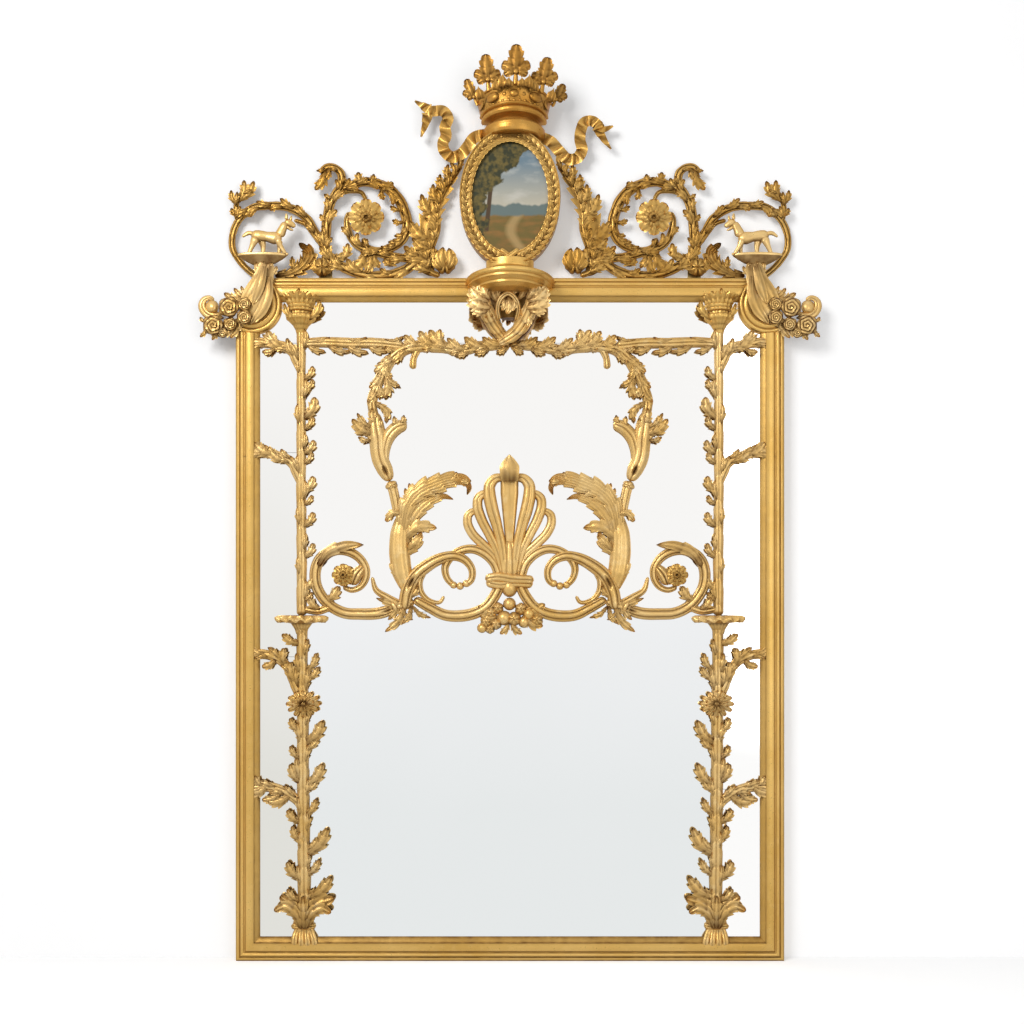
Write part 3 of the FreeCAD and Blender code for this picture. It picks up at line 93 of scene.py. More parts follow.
def branch(points, widths, back, rise=0.9, strands=3, groove=0.22, husk=0.0, pitch=14.0, lift=0.0,
           slit=None, hollow=0.0):
    # D section along a line: across = w cos(a), height = w rise sin(a) for a from 0 to pi, both cut by
    # 1 - groove (1 - |sin(strands a)|^0.6) and swelled by husk, a saw-tooth in each pitch that lags at
    # the sides; a slit is a gouge along the crown of the stem between two shares of its length
    line, tangent, side, run = smooth(points, 1.3)
    count = len(line)
    half = spread(widths, count) * 0.5
    near = np.clip(np.minimum(run, run[-1] - run) / np.maximum(half, 0.5), 0, 1)
    half = half * np.maximum(np.sqrt(1 - (1 - near) ** 2), 0.12)
    a = np.linspace(0, np.pi, 19)
    ridge = np.abs(np.sin(strands * a)) ** 0.6
    cut = 1 - groove * (1 - ridge)
    saw = (run[:, None] / pitch - 0.45 * np.sin(a)) % 1.0
    swell = cut * (1 + husk * (saw - 0.4))
    across = half[:, None] * np.cos(a) * (1 + husk * (saw - 0.4) * 1.4)
    body = np.sin(a) ** 0.8 * (1 - hollow * np.sin(a) ** 6)
    height = half[:, None] * rise * body * swell
    # Painted shade: darker in the grooves between strands, low on the sides where the stem meets the back, at
    # the foot of each husk tooth, in the hollow and in the slit; the closing strip underneath is fully shaded
    paintedShade = np.clip((1 - ridge) * groove * 2.6 * np.sin(a) ** 0.3 + 0.35 * (1 - np.sin(a)) ** 2, 0, 1)
    paintedShade = paintedShade + husk * 3.0 * (1 - saw) ** 5 + hollow * 0.5 * np.sin(a) ** 6
    if slit:
        t = np.linspace(0, 1, count)[:, None]
        gouge = np.clip(np.minimum(t - slit[0], slit[1] - t) / 0.05, 0, 1)
        gouge = gouge * np.exp(-((a - np.pi * 0.5) / 0.2) ** 2)
        height = height * (1 - 0.6 * gouge)
        paintedShade = paintedShade + 1.1 * gouge
    under = np.array([-0.9, 0.0, 0.9]) * half[:, None]
    across = np.concatenate([across, under], 1)
    base = spread(np.atleast_1d(lift), count)[:, None]
    height = np.concatenate([height + base, np.zeros((count, 3)) + 0.6 * base], 1)
    paintedShade = np.concatenate([np.broadcast_to(paintedShade, (count, 19)), np.ones((count, 3))], 1)
    return lifted(line, across, np.zeros_like(across), height, side, tangent, back), np.clip(paintedShade, 0, 1)


leafForm = {
    # the widest place, the run from there to the tip, the first tooth and the width of the middle vein
    "shoulder": 0.55, "end": 0.45, "firstTooth": 0.12, "vein": 0.14, "veinDepth": 0.7,
    # points across the face, across a ribbed face and across the underside
    "face": 13, "ribbedFace": 25, "under": 5,
}


def leaf(points, width, back, lobes=4, lift=1.5, arch=2.5, curl=2.5, thick=2.4, base=0.3, notch=0.43,
         slant=0.9, pleat=0.6, blunt=1.3, ribs=2):
    # Wedge leaf, u from -1 to 1 across: half width = base + (1 - base) sin up to t = 0.55, then closing as
    # (1 - s^blunt)^(1/blunt), cut by saw teeth that lean ahead; height = arch sin(pi t)(1 - u^2 / 2)
    # + pleat cos(ribs pi u) - a vein at u = 0 + a curl that rolls the tip forward; underside thick below
    length = np.linalg.norm(np.diff(np.asarray(points, float), axis=0), axis=1).sum()
    line, tangent, side, _ = smooth(points, length / (7 * lobes + 8))
    t = np.linspace(0, 1, len(line))[:, None]
    f = leafForm
    past = np.clip((t - f["shoulder"]) / f["end"], 0, 1)
    opening = base + (1 - base) * np.sin(np.clip(t / f["shoulder"], 0, 1) * np.pi * 0.5)
    closing = (1 - past ** blunt) ** (1 / blunt)
    tooth = (t * lobes) % 1.0 if lobes > 1 else np.ones_like(t)
    half = 0.5 * width * np.maximum(opening * closing, 0.05)
    half = half * (1 - notch * (1 - tooth) ** 1.3 * (t > f["firstTooth"]))
    top = f["face"] if ribs < 4 else f["ribbedFace"]
    u = np.r_[np.linspace(-1, 1, top), np.linspace(0.8, -0.8, f["under"])]
    below = np.r_[np.zeros(top), np.ones(f["under"])]
    vein = np.exp(-(u / f["vein"]) ** 2) * (1 - t)
    ahead = slant * half * np.abs(u) ** 1.6 * (1 - 0.7 * t)
    height = lift + arch * np.sin(np.pi * np.minimum(t + 0.08, 1)) * (1 - 0.5 * u * u)
    height = height + pleat * np.cos(ribs * np.pi * u) * (0.3 + 0.7 * t) - f["veinDepth"] * vein
    height = height + curl * past ** 2
    height = np.maximum(height - below * thick * (1 - 0.5 * u * u), 0)
    # Painted shade: darker in the notches between teeth, in the rib valleys, towards the base, along the vein
    # and on the underside
    paintedShade = 0.6 * (1 - tooth) ** 2 * np.abs(u) + 0.42 * (0.5 - 0.5 * np.cos(ribs * np.pi * u))
    paintedShade = paintedShade + 0.5 * (1 - t) ** 3 + 0.5 * vein + 0.5 * below
    patch = lifted(line, half * u, ahead, height, side, tangent, back)
    return patch, np.clip(np.broadcast_to(paintedShade, height.shape), 0, 1)


def dome(centre, radius, back, rise=0.8, lift=0.0, ribs=0, depth=0.12, stretch=1.0, tilt=0.0):
    # Half ball: ring radius r cos(b), height rise r sin(b);
    # ribs cut it into gores by 1 - depth (1 - |sin(ribs c / 2)|^0.6)
    b = np.linspace(0, np.pi * 0.5, 9)[:, None]
    c = np.linspace(0, 2 * np.pi, 28, endpoint=False)
    gore = 1 - depth * (1 - np.abs(np.sin(0.5 * ribs * c)) ** 0.6) if ribs else np.ones_like(c)
    r = radius * np.maximum(np.cos(b), 0.02) * gore
    wide, tall = r * np.cos(c), r * np.sin(c) * stretch
    turn = np.radians(tilt)
    column = centre[0] + wide * np.cos(turn) - tall * np.sin(turn)
    row = centre[1] + wide * np.sin(turn) + tall * np.cos(turn)
    height = lift + radius * rise * np.sin(b) * gore
    # Painted shade in the cuts between the gores and round the foot of the dome
    paintedShade = (1 - gore) * 5 + 0.8 * (1 - np.sin(b)) ** 2
    return at(column, row, back - height * shot["pixel"]), np.clip(paintedShade, 0, 1)


def limb(points, radii, back, depth, flat=0.85):
    # Round limb: a circle of radius r(t) carried along a line that stands depth off the back plane
    line, tangent, side, run = smooth(points, 0.9)
    r = spread(radii, len(line))[:, None]
    near = np.clip(np.minimum(run, run[-1] - run)[:, None] / r, 0, 1)
    r = r * np.maximum(np.sqrt(1 - (1 - near) ** 2), 0.1)
    a = np.linspace(0, 2 * np.pi, 16, endpoint=False)
    across = r * np.cos(a)
    height = depth + r * flat * np.sin(a)
    patch = lifted(line, across, np.zeros_like(across), height, side, tangent, back)
    # Painted shade: the lower side of a limb that runs across is darker, and so is the half that faces the
    # back plane
    return patch, np.clip(0.12 + 0.65 * np.cos(a) * side[:, 1:2] + 0.2 * (1 - np.sin(a)), 0, 1)


def turned(x, y, profile, deep=1.0, flutes=0, flute=0.0, rim=0.0, whole=False):
    # Half-round turning about an upright line: radius r(z) at the angle c, times 1 + flute cos(flutes c);
    # rim lets the edge of the widest rings hang in scallops, and whole carries it all the way round
    r, z = np.asarray(profile, float).T
    grow = np.linspace(0, len(r) - 1, 5 * (len(r) - 1) + 1)
    r, z = np.interp(grow, np.arange(len(r)), r), np.interp(grow, np.arange(len(z)), z)
    c = np.linspace(0, 2 * np.pi, 64, endpoint=False) if whole else np.linspace(0, np.pi, 45)
    wave = np.cos(flutes * c)
    radius = r[:, None] * (1 + flute * wave)
    drop = rim * (wave - 1) * (r / r.max())[:, None] ** 3
    front = np.stack([x - radius * np.cos(c), y - deep * radius * np.sin(c),
                      np.broadcast_to(z[:, None], radius.shape) + drop], -1)
    ends = np.stack([front[:, -1] * (1 - s) + front[:, 0] * s for s in (0.25, 0.5, 0.75)], 1)
    # Painted shade: darker in the hollows of the profile and in the flute valleys; the closing strip of a
    # half turning is fully shaded
    hollow = np.convolve(np.pad(r, 3, mode="edge"), np.ones(7) / 7, "valid") - r
    paintedShade = np.clip(hollow / (np.abs(hollow).max() + 1e-6), 0, 1)[:, None] * 0.9
    paintedShade = paintedShade + flute * 4 * (1 - wave) * 0.5
    if whole:
        return front, np.clip(np.broadcast_to(paintedShade, radius.shape), 0, 1)
    paintedShade = np.concatenate([np.broadcast_to(paintedShade, radius.shape), np.ones((len(r), 3))], 1)
    return np.concatenate([front, ends], 1), np.clip(paintedShade, 0, 1)


def flower(centre, radius, petals, back, lift=0.0, rows=2, heart=0.3, wide=1.15, stretch=1.0):
    # Rows of one-lobed leaves round a domed heart; each row is shorter, steeper and turned half a petal
    shapes = []
    for row in range(rows):
        reach = radius * (1 - 0.34 * row)
        for k in range(petals):
            turn = 2 * np.pi * (k + 0.5 * row) / petals
            way = np.array([np.cos(turn), np.sin(turn) * stretch])
            points = [centre + way * reach * s for s in (0.12, 0.55, 1.0)]
            petal, shade = leaf(points, wide * 2 * np.pi * reach / petals * 0.66, back, lobes=1,
                                lift=lift + 1 + 3.0 * row + 1.2 * (k % 2), arch=radius * 0.25,
                                curl=radius * 0.03, base=0.4, notch=0.0, slant=0.0, blunt=2.8)
            # Painted shade: each petal is darkest at its root, under the next row, and lightens towards its
            # tip
            root = np.linspace(1, 0, len(shade))[:, None] ** 1.8
            shapes.append((petal, np.clip(0.5 * shade + root, 0, 1)))
    shapes.append(dome(centre, radius * heart, back, 1.0, lift + 2.0 * rows, 6, 0.25, stretch))
    return shapes


def rose(centre, radius, back, lift):
    # Rose: height = R (0.75 sqrt(1 - r^2) + 0.17 s), where s is the saw-tooth of
    # 3.2 r + 0.4 r cos(5 c) + c / 2 pi, so that each tooth is the rim of a row of petals that winds inward
    r = np.linspace(1.0, 0.02, 30)[:, None]
    c = np.linspace(0, 2 * np.pi, 50, endpoint=False)
    rim = (3.2 * r + 0.4 * r * np.cos(5 * c) + c / (2 * np.pi)) % 1.0
    reach = radius * r * (1 + 0.06 * np.cos(5 * c))
    height = lift + radius * (0.75 * np.sqrt(1 - r * r) + 0.17 * rim)
    # Painted shade: dark in the gap under each rim of petals and towards the outer edge
    paintedShade = 1.3 * (1 - rim) ** 2 + 0.5 * r ** 6
    patch = at(centre[0] + reach * np.cos(c), centre[1] + reach * np.sin(c), back - height * shot["pixel"])
    return patch, np.clip(paintedShade, 0, 1)


def foliage(points, count, length, back, out=0.4, sides=(1, -1), seed=1, span=(0.03, 0.95), wide=0.5, **look):
    # Sheath leaves: each lies along the line and then turns out from it by a share of its length
    chance = np.random.default_rng(seed)
    line, tangent, side, _ = smooth(points, 1.0)
    last = len(line) - 1
    shapes = []
    for k, share in enumerate(np.linspace(span[0], span[1], count)):
        reach = length * chance.uniform(0.8, 1.2)
        way = sides[k % len(sides)] * chance.uniform(0.75, 1.25)
        places = share * last + reach * np.array([0.0, 0.5, 0.85])
        steps = np.minimum(places.astype(int), last)
        drift = side[steps] * (np.array([0.05, 0.16, out]) * reach * way)[:, None]
        beyond = tangent[steps] * np.maximum(places - last, 0)[:, None]
        shapes.append(leaf(line[steps] + drift + beyond, reach * wide, back, **look))
    return shapes


def leaves(rows, back, scale=1.0, **look):
    # Leaves given by base, tip and width share; each bends a little to one side
    shapes = []
    for x0, y0, x1, y1, wide in rows:
        base, tip = np.array([x0, y0], float), np.array([x1, y1], float)
        run = tip - base
        bow = np.array([-run[1], run[0]]) * (0.12 if run[0] > 0 else -0.12)
        shapes.append(leaf([base, base + run * 0.5 + bow, tip], np.hypot(*run) * wide * scale, back, **look))
    return shapes


# Meshes

def addMesh(name, patches, mirror):
    # Each patch is rings of points: quads between rings, a fan to the middle of each end ring
    spots, quads, fans, cavities, first = [], [], [], [], 0
    for rings, paintedShade in patches:
        n, m = rings.shape[:2]
        i = np.arange(n * m).reshape(n, m)
        over = np.roll(i, -1, axis=1)
        quad = np.stack([i[:-1], over[:-1], over[1:], i[1:]], -1).reshape(-1, 4)
        low, high = n * m, n * m + 1
        fan = np.concatenate([np.stack([over[0], i[0], np.full(m, low)], -1),
                              np.stack([i[-1], over[-1], np.full(m, high)], -1)])
        points = np.concatenate([rings.reshape(-1, 3), rings[[0, -1]].mean(1)])
        corners = points[quad] - points.mean(0)
        volume = np.einsum("ij,ij->i", np.cross(corners[:, 0], corners[:, 1]), corners[:, 2]).sum()
        if (volume < 0) != mirror:
            quad, fan = quad[:, ::-1], fan[:, ::-1]
        spots.append(points)
        quads.append(quad + first)
        fans.append(fan + first)
        cavities.append(np.r_[np.asarray(paintedShade).ravel(), paintedShade[0].mean(), paintedShade[-1].mean()])
        first += len(points)
    points, quads, fans = np.concatenate(spots), np.concatenate(quads), np.concatenate(fans)
    if mirror:
        points = points * (-1, 1, 1)
    mesh = bpy.data.meshes.new(name)
    mesh.vertices.add(len(points))
    mesh.vertices.foreach_set("co", points.astype(np.float32).ravel())
    mesh.loops.add(4 * len(quads) + 3 * len(fans))
    mesh.loops.foreach_set("vertex_index", np.r_[quads.ravel(), fans.ravel()].astype(np.int32))
    mesh.polygons.add(len(quads) + len(fans))
    starts = np.r_[4 * np.arange(len(quads)), 4 * len(quads) + 3 * np.arange(len(fans))]
    mesh.polygons.foreach_set("loop_start", starts.astype(np.int32))
    mesh.polygons.foreach_set("use_smooth", np.ones(len(starts), bool))
    shade = mesh.attributes.new("paintedShade", "FLOAT", "POINT")
    shade.data.foreach_set("value", np.concatenate(cavities).astype(np.float32))
    mesh.update(calc_edges=True)
    mesh.set_sharp_from_angle(angle=np.radians(55))
    return mesh


def addObject(name, data):
    thing = bpy.data.objects.new(name, data)
    bpy.context.scene.collection.objects.link(thing)
    return thing


def addPiece(name, patches, material, node, mirror=False):
    piece = addObject(name, addMesh(name, patches, mirror))
    piece.data.materials.append(material)
    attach(piece, "root")
    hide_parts(node)
    return piece


def addPair(name, patches, material, node):
    # The left-hand piece and its mirror image on the right
    for hand, mirror in (("left", False), ("right", True)):
        addPiece(f"{name}_{hand}", patches, material, f"{node}_{hand}", mirror)


# Materials

def newGroup(name, inputs, outputs):
    group = bpy.data.node_groups.new(name, "ShaderNodeTree")
    for label, kind in inputs:
        group.interface.new_socket(label, in_out="INPUT", socket_type=kind)
    for label, kind in outputs:
        group.interface.new_socket(label, in_out="OUTPUT", socket_type=kind)
    return group, group.nodes.new("NodeGroupInput"), group.nodes.new("NodeGroupOutput")


def noise(tree, scale, detail=3.0, stretch=None):
    place = tree.nodes.new("ShaderNodeTexCoord")
    cloud = tree.nodes.new("ShaderNodeTexNoise")
    cloud.inputs["Scale"].default_value = scale
    cloud.inputs["Detail"].default_value = detail
    if stretch:
        mapping = tree.nodes.new("ShaderNodeMapping")
        mapping.inputs["Scale"].default_value = stretch
        tree.links.new(place.outputs["Object"], mapping.inputs["Vector"])
        tree.links.new(mapping.outputs["Vector"], cloud.inputs["Vector"])
    else:
        tree.links.new(place.outputs["Object"], cloud.inputs["Vector"])
    return cloud.outputs["Fac"]


def axes(tree):
    # The frame's X and Z at each point of a surface, in metres
    place = tree.nodes.new("ShaderNodeTexCoord")
    parts = tree.nodes.new("ShaderNodeSeparateXYZ")
    tree.links.new(place.outputs["Object"], parts.inputs[0])
    return parts.outputs["X"], parts.outputs["Z"]


def ranged(tree, value, low, high, toLow=0.0, toHigh=1.0):
    node = tree.nodes.new("ShaderNodeMapRange")
    node.inputs["From Min"].default_value = low
    node.inputs["From Max"].default_value = high
    node.inputs["To Min"].default_value = toLow
    node.inputs["To Max"].default_value = toHigh
    tree.links.new(value, node.inputs["Value"])
    return node.outputs["Result"]


def combine(tree, operation, first, second, clamp=False):
    node = tree.nodes.new("ShaderNodeMath")
    node.operation = operation
    node.use_clamp = clamp
    for socket, value in zip(node.inputs, (first, second)):
        if isinstance(value, (int, float)):
            socket.default_value = value
        else:
            tree.links.new(value, socket)
    return node.outputs["Value"]


def mixed(tree, share, first, second):
    node = tree.nodes.new("ShaderNodeMix")
    node.data_type = "RGBA"
    names = [s for s in node.inputs if s.type == "RGBA"]
    for socket, value in zip((node.inputs[0], names[0], names[1]), (share, first, second)):
        if isinstance(value, tuple):
            socket.default_value = (*value, 1.0)
        elif isinstance(value, float):
            socket.default_value = value
        else:
            tree.links.new(value, socket)
    return [s for s in node.outputs if s.type == "RGBA"][0]


def makeGildingGroup():
    # Gold leaf over red bole and gesso: blotches and rubbed lights, and dark brown in the hollows, which is
    # partly bole showing through and partly painted shade in recesses, grooves and undersides
    group, given, result = newGroup(
        "wornGilding",
        [("Leaf", "NodeSocketColor"), ("BoleAndShade", "NodeSocketColor"), ("Rubbed", "NodeSocketColor"),
         ("Wear", "NodeSocketFloat")],
        [("Color", "NodeSocketColor"), ("Roughness", "NodeSocketFloat"), ("Metal", "NodeSocketFloat"),
         ("Height", "NodeSocketFloat")])
    blotch = noise(group, 7.0, 4.0)
    patchy = noise(group, 38.0, 4.0)
    fine = noise(group, 260.0, 2.0)
    mark = group.nodes.new("ShaderNodeAttribute")
    mark.attribute_name = "paintedShade"
    uneven = ranged(group, patchy, 0.25, 0.75, 0.65, 1.25)
    deep = combine(group, "MULTIPLY", mark.outputs["Fac"], uneven, True)
    tone = mixed(group, ranged(group, blotch, 0.35, 0.7, 0.0, 0.55), given.outputs["Leaf"],
                 given.outputs["Rubbed"])
    rub = combine(group, "MULTIPLY", ranged(group, patchy, 0.52, 0.72), given.outputs["Wear"], True)
    tone = mixed(group, rub, tone, given.outputs["Rubbed"])
    # Painted shade: the colour turns dark brown where the mark from the mesh is high, in recesses, grooves
    # and undersides, broken up by noise
    tone = mixed(group, deep, tone, given.outputs["BoleAndShade"])
    group.links.new(tone, result.inputs["Color"])
    rough = combine(group, "ADD", ranged(group, fine, 0.3, 0.7, 0.26, 0.40),
                    combine(group, "MULTIPLY", deep, 0.2))
    group.links.new(rough, result.inputs["Roughness"])
    group.links.new(ranged(group, deep, 0.0, 1.0, 0.54, 0.15), result.inputs["Metal"])
    height = combine(group, "ADD", combine(group, "MULTIPLY", patchy, 0.8),
                     combine(group, "MULTIPLY", fine, 0.25))
    group.links.new(height, result.inputs["Height"])
    return group


def newMaterial(name):
    material = bpy.data.materials.new(name)
    material.use_nodes = True
    return material, material.node_tree, material.node_tree.nodes["Principled BSDF"]


def addBump(tree, shader, height, strength, distance):
    bump = tree.nodes.new("ShaderNodeBump")
    bump.inputs["Strength"].default_value = strength
    bump.inputs["Distance"].default_value = distance
    tree.links.new(height, bump.inputs["Height"])
    tree.links.new(bump.outputs["Normal"], shader.inputs["Normal"])


# the third colour of each is the dark brown of bole and painted shade in the hollows
gildings = {
    "carvedGilding": {
        "Leaf": (0.68, 0.42, 0.13), "BoleAndShade": (0.10, 0.036, 0.007), "Rubbed": (0.92, 0.68, 0.33),
        "Wear": 0.6},
    "crestGilding": {
        "Leaf": (0.47, 0.245, 0.045), "BoleAndShade": (0.055, 0.017, 0.003), "Rubbed": (0.80, 0.52, 0.17),
        "Wear": 0.5},
    "frameGilding": {
        "Leaf": (0.64, 0.385, 0.10), "BoleAndShade": (0.12, 0.048, 0.010), "Rubbed": (0.80, 0.53, 0.18),
        "Wear": 0.4},
    # A lighter copy of the carved gilding for the crossed branches, which sit in the shelf's shadow: painted
    # light
    "paintedLightBranchGilding": {
        "Leaf": (0.92, 0.60, 0.21), "BoleAndShade": (0.16, 0.06, 0.012), "Rubbed": (0.98, 0.76, 0.40), "Wear": 0.6},
    # A darker copy of the crest gilding for the crown, whose surfaces catch the highlights: painted shade
    "shadedCrownGilding": {
        "Leaf": (0.42, 0.195, 0.032), "BoleAndShade": (0.05, 0.016, 0.003), "Rubbed": (0.68, 0.40, 0.11),
        "Wear": 0.45},
}


def makeGilding(name, colours, group):
    material, tree, shader = newMaterial(name)
    node = tree.nodes.new("ShaderNodeGroup")
    node.node_tree = group
    for label, value in colours.items():
        node.inputs[label].default_value = (*value, 1.0) if isinstance(value, tuple) else value
    tree.links.new(node.outputs["Color"], shader.inputs["Base Color"])
    tree.links.new(node.outputs["Roughness"], shader.inputs["Roughness"])
    tree.links.new(node.outputs["Metal"], shader.inputs["Metallic"])
    tree.links.new(node.outputs["Color"], shader.inputs["Specular Tint"])
    addBump(tree, shader, node.outputs["Height"], 0.35, 0.0015)
    return material


glassTints = {
    # tint at the foot, tint at the head and the two heights; the grading and the plate-to-plate differences
    # are painted reflection
    "paleMirror": ((0.925, 0.915, 0.90), (0.93, 0.92, 0.905), 1.0, 2.0),
    "greyMirror": ((0.79, 0.815, 0.815), (0.86, 0.87, 0.88), 0.45, 1.05),
    "dimMirror": ((0.75, 0.745, 0.70), (0.925, 0.915, 0.90), 0.55, 1.75),
    "clearMirror": ((0.97, 0.965, 0.955), (0.985, 0.98, 0.97), 0.5, 1.8),
}


def makeMirror(name, dull, clear, low, high):
    # A slow change of tint with the height, which is painted reflection, and faint clouds in the old
    # silvering
    material, tree, shader = newMaterial(name)
    share = ranged(tree, axes(tree)[1], low, high)
    cloud = ranged(tree, noise(tree, 1.6, 2.0), 0.3, 0.7, -0.12, 0.12)
    share = combine(tree, "ADD", share, cloud, True)
    tree.links.new(mixed(tree, share, dull, clear), shader.inputs["Base Color"])
    tree.links.new(ranged(tree, noise(tree, 5.0, 3.0), 0.3, 0.7, 0.03, 0.06), shader.inputs["Roughness"])
    shader.inputs["Metallic"].default_value = 1.0
    return material


def makeWood():
    material, tree, shader = newMaterial("backPine")
    grain = noise(tree, 9.0, 6.0, (14.0, 14.0, 0.8))
    tree.links.new(mixed(tree, ranged(tree, grain, 0.3, 0.7), (0.20, 0.115, 0.055), (0.40, 0.26, 0.14)),
                   shader.inputs["Base Color"])
    tree.links.new(ranged(tree, grain, 0.3, 0.7, 0.75, 0.6), shader.inputs["Roughness"])
    addBump(tree, shader, grain, 0.3, 0.001)
    return material


def makeMetal(name, dark, light, low, high):
    material, tree, shader = newMaterial(name)
    cloud = noise(tree, 60.0, 5.0)
    tree.links.new(mixed(tree, ranged(tree, cloud, 0.3, 0.7), dark, light), shader.inputs["Base Color"])
    tree.links.new(ranged(tree, cloud, 0.3, 0.7, low, high), shader.inputs["Roughness"])
    shader.inputs["Metallic"].default_value = 1.0
    return material


gildingGroup = makeGildingGroup()
gilding = {name: makeGilding(name, colours, gildingGroup) for name, colours in gildings.items()}
carved, crested, framed, paintedLightGilding, crownShadeGilding = (gilding[name] for name in gildings)
mirrors = {name: makeMirror(name, *tints) for name, tints in glassTints.items()}
pine = makeWood()
brass = makeMetal("dullBrass", (0.34, 0.22, 0.07), (0.60, 0.43, 0.17), 0.5, 0.3)
steel = makeMetal("screwSteel", (0.22, 0.20, 0.18), (0.46, 0.44, 0.41), 0.55, 0.35)
print("materials made")


# Frame mouldings

frameMoulding = {
    "width": 0.072, "depth": 0.066, "rebate": 0.014,
    # share of the width, share of the depth and bow of the run up to that point
    "face": ((0.0, 0.60, 0.0), (0.07, 0.66, 0.25), (0.14, 0.68, 0.2), (0.18, 0.64, 0.0), (0.22, 0.72, 0.0),
             (0.34, 0.74, 0.45), (0.37, 0.70, 0.0), (0.42, 0.72, -0.3), (0.46, 0.79, 0.0), (0.79, 0.81, 0.2),
             (0.79, 0.72, 0.0), (1.0, 0.56, 0.1)),
    # share of the width and how dark the painted shade in the hollow is there
    "lines": ((0.0, 0.8), (0.05, 0.7), (0.07, 0.1), (0.13, 0.1), (0.155, 0.75), (0.20, 0.8), (0.235, 0.05),
              (0.32, 0.0),
              (0.36, 0.5), (0.42, 0.55), (0.46, 0.0), (0.68, 0.05), (0.77, 0.3), (0.80, 0.95), (0.84, 0.5),
              (0.93, 0.6),
              (1.0, 0.85)),
    # how much of that painted shade the stiles and the top rail keep; the bottom rail keeps all of it and so
    # reads as less lit
    "paintedShadeKept": 0.5,
    "cornerX": -0.774, "cornerDrop": 0.081, "cornerRadius": 0.087, "cornerWidth": 0.045,
    "cornerFace": ((0.0, 0.70, 0.0), (0.22, 0.78, 0.35), (0.30, 0.72, -0.2), (0.72, 0.76, 0.3),
                   (0.80, 0.68, -0.3), (1.0, 0.66, 0.4), (1.0, 0.0, 0.0)),
    # first and last angle of the corner's arc, in degrees
    "cornerArc": (69, -131),
}


def sectionOf(face):
    # A run of straight and bowed strokes: bow is the sagitta as a share of half the chord
    points = [np.array([0.0, 0.0])]
    for u, d, bow in face:
        start, end = points[-1], np.array([u, d])
        s = np.linspace(0, 1, 10 if bow else 4)[1:, None]
        chord = end - start
        out = np.array([-chord[1], chord[0]]) * bow * 2.0
        points += list(start + chord * s + out * s * (1 - s))
    return np.array(points)


def mouldingRing():
    # The whole section of the moulding, from the back up over the face and down the rebate
    m = frameMoulding
    face = sectionOf(m["face"]) * (m["width"], m["depth"])
    inner = m["width"] - m["rebate"]
    ring = np.concatenate([face, [[m["width"], -glassY], [inner, -glassY], [inner, 0.0]]])
    # Painted shade read from the lines table; the back and the rebate are fully shaded
    paintedShade = np.interp(face[:, 0] / m["width"], *zip(*m["lines"]))
    return ring, np.r_[paintedShade, 1.0, 1.0, 1.0]


def makeFrame():
    m = frameMoulding
    ring, paintedShade = mouldingRing()
    u, d = ring.T
    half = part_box("rail_bottom")[1].x
    cornerZ = railTop - m["cornerDrop"]
    t = np.linspace(0, 1, 90)[:, None]
    x = -half + u
    top = cornerZ - np.sqrt(m["cornerRadius"] ** 2 - (x - m["cornerX"]) ** 2)
    stile = np.stack(np.broadcast_arrays(x, -d, u + (top - u) * t), -1)
    shade = np.broadcast_to(paintedShade, stile.shape[:2])
    # The stiles and the top rail keep only part of the painted shade, the bottom rail all of it
    addPair("gilt_stile", [(stile, shade * m["paintedShadeKept"])], framed, "stile")
    bottom = np.stack(np.broadcast_arrays((half - u) * (2 * t - 1), -d, u), -1)
    addPiece("gilt_rail_low", [(bottom, shade)], framed, "rail_bottom", False)
    z = railTop - u
    reach = -(m["cornerX"] + np.sqrt(m["cornerRadius"] ** 2 - (z - cornerZ) ** 2))
    head = np.stack(np.broadcast_arrays(reach * (2 * t - 1), -d, z), -1)
    addPiece("gilt_rail_high", [(head, shade * m["paintedShadeKept"])], framed, "rail_top", False)
    # The C-shaped corner: the same sort of section carried round an arc
    face = sectionOf(m["cornerFace"])
    r = m["cornerRadius"] - m["cornerWidth"] * face[:, 0]
    deep = face[:, 1] * m["depth"]
    angle = np.radians(np.linspace(*m["cornerArc"], 60))[:, None]
    x, z = m["cornerX"] + r * np.cos(angle), cornerZ + r * np.sin(angle)
    corner = np.stack(np.broadcast_arrays(x, -deep, z), -1)
    # Painted shade in the concave parts of the corner's section
    soft = np.convolve(np.pad(deep, 3, mode="edge"), np.ones(7) / 7, "valid") - deep
    shade = np.broadcast_to(np.clip(soft / 0.002, 0, 1), corner.shape[:2])
    addPair("gilt_corner", [(corner, shade)], framed, "corner_moulding")


makeFrame()
for name, node in nodes.items():
    if name.startswith(("plate_", "margin_plates")):
        # Painted reflection: the lower middle plate greyer, the left margins dimmer towards the foot, the
        # right margins clearer
        tint = {"plate_centre_lower": "greyMirror", "margin_plates_left": "dimMirror",
                "margin_plates_right": "clearMirror"}.get(name, "paleMirror")
        finish = mirrors[tint]
    elif name.startswith(("backboards", "glazing", "crest_batten")):
        finish = pine
    elif name == "wall_plates":
        finish = brass
    elif name == "frame_screws":
        finish = steel
    else:
        continue
    for slot in node.material_slots:
        slot.material = finish
print("frame and glass done")

# Columns

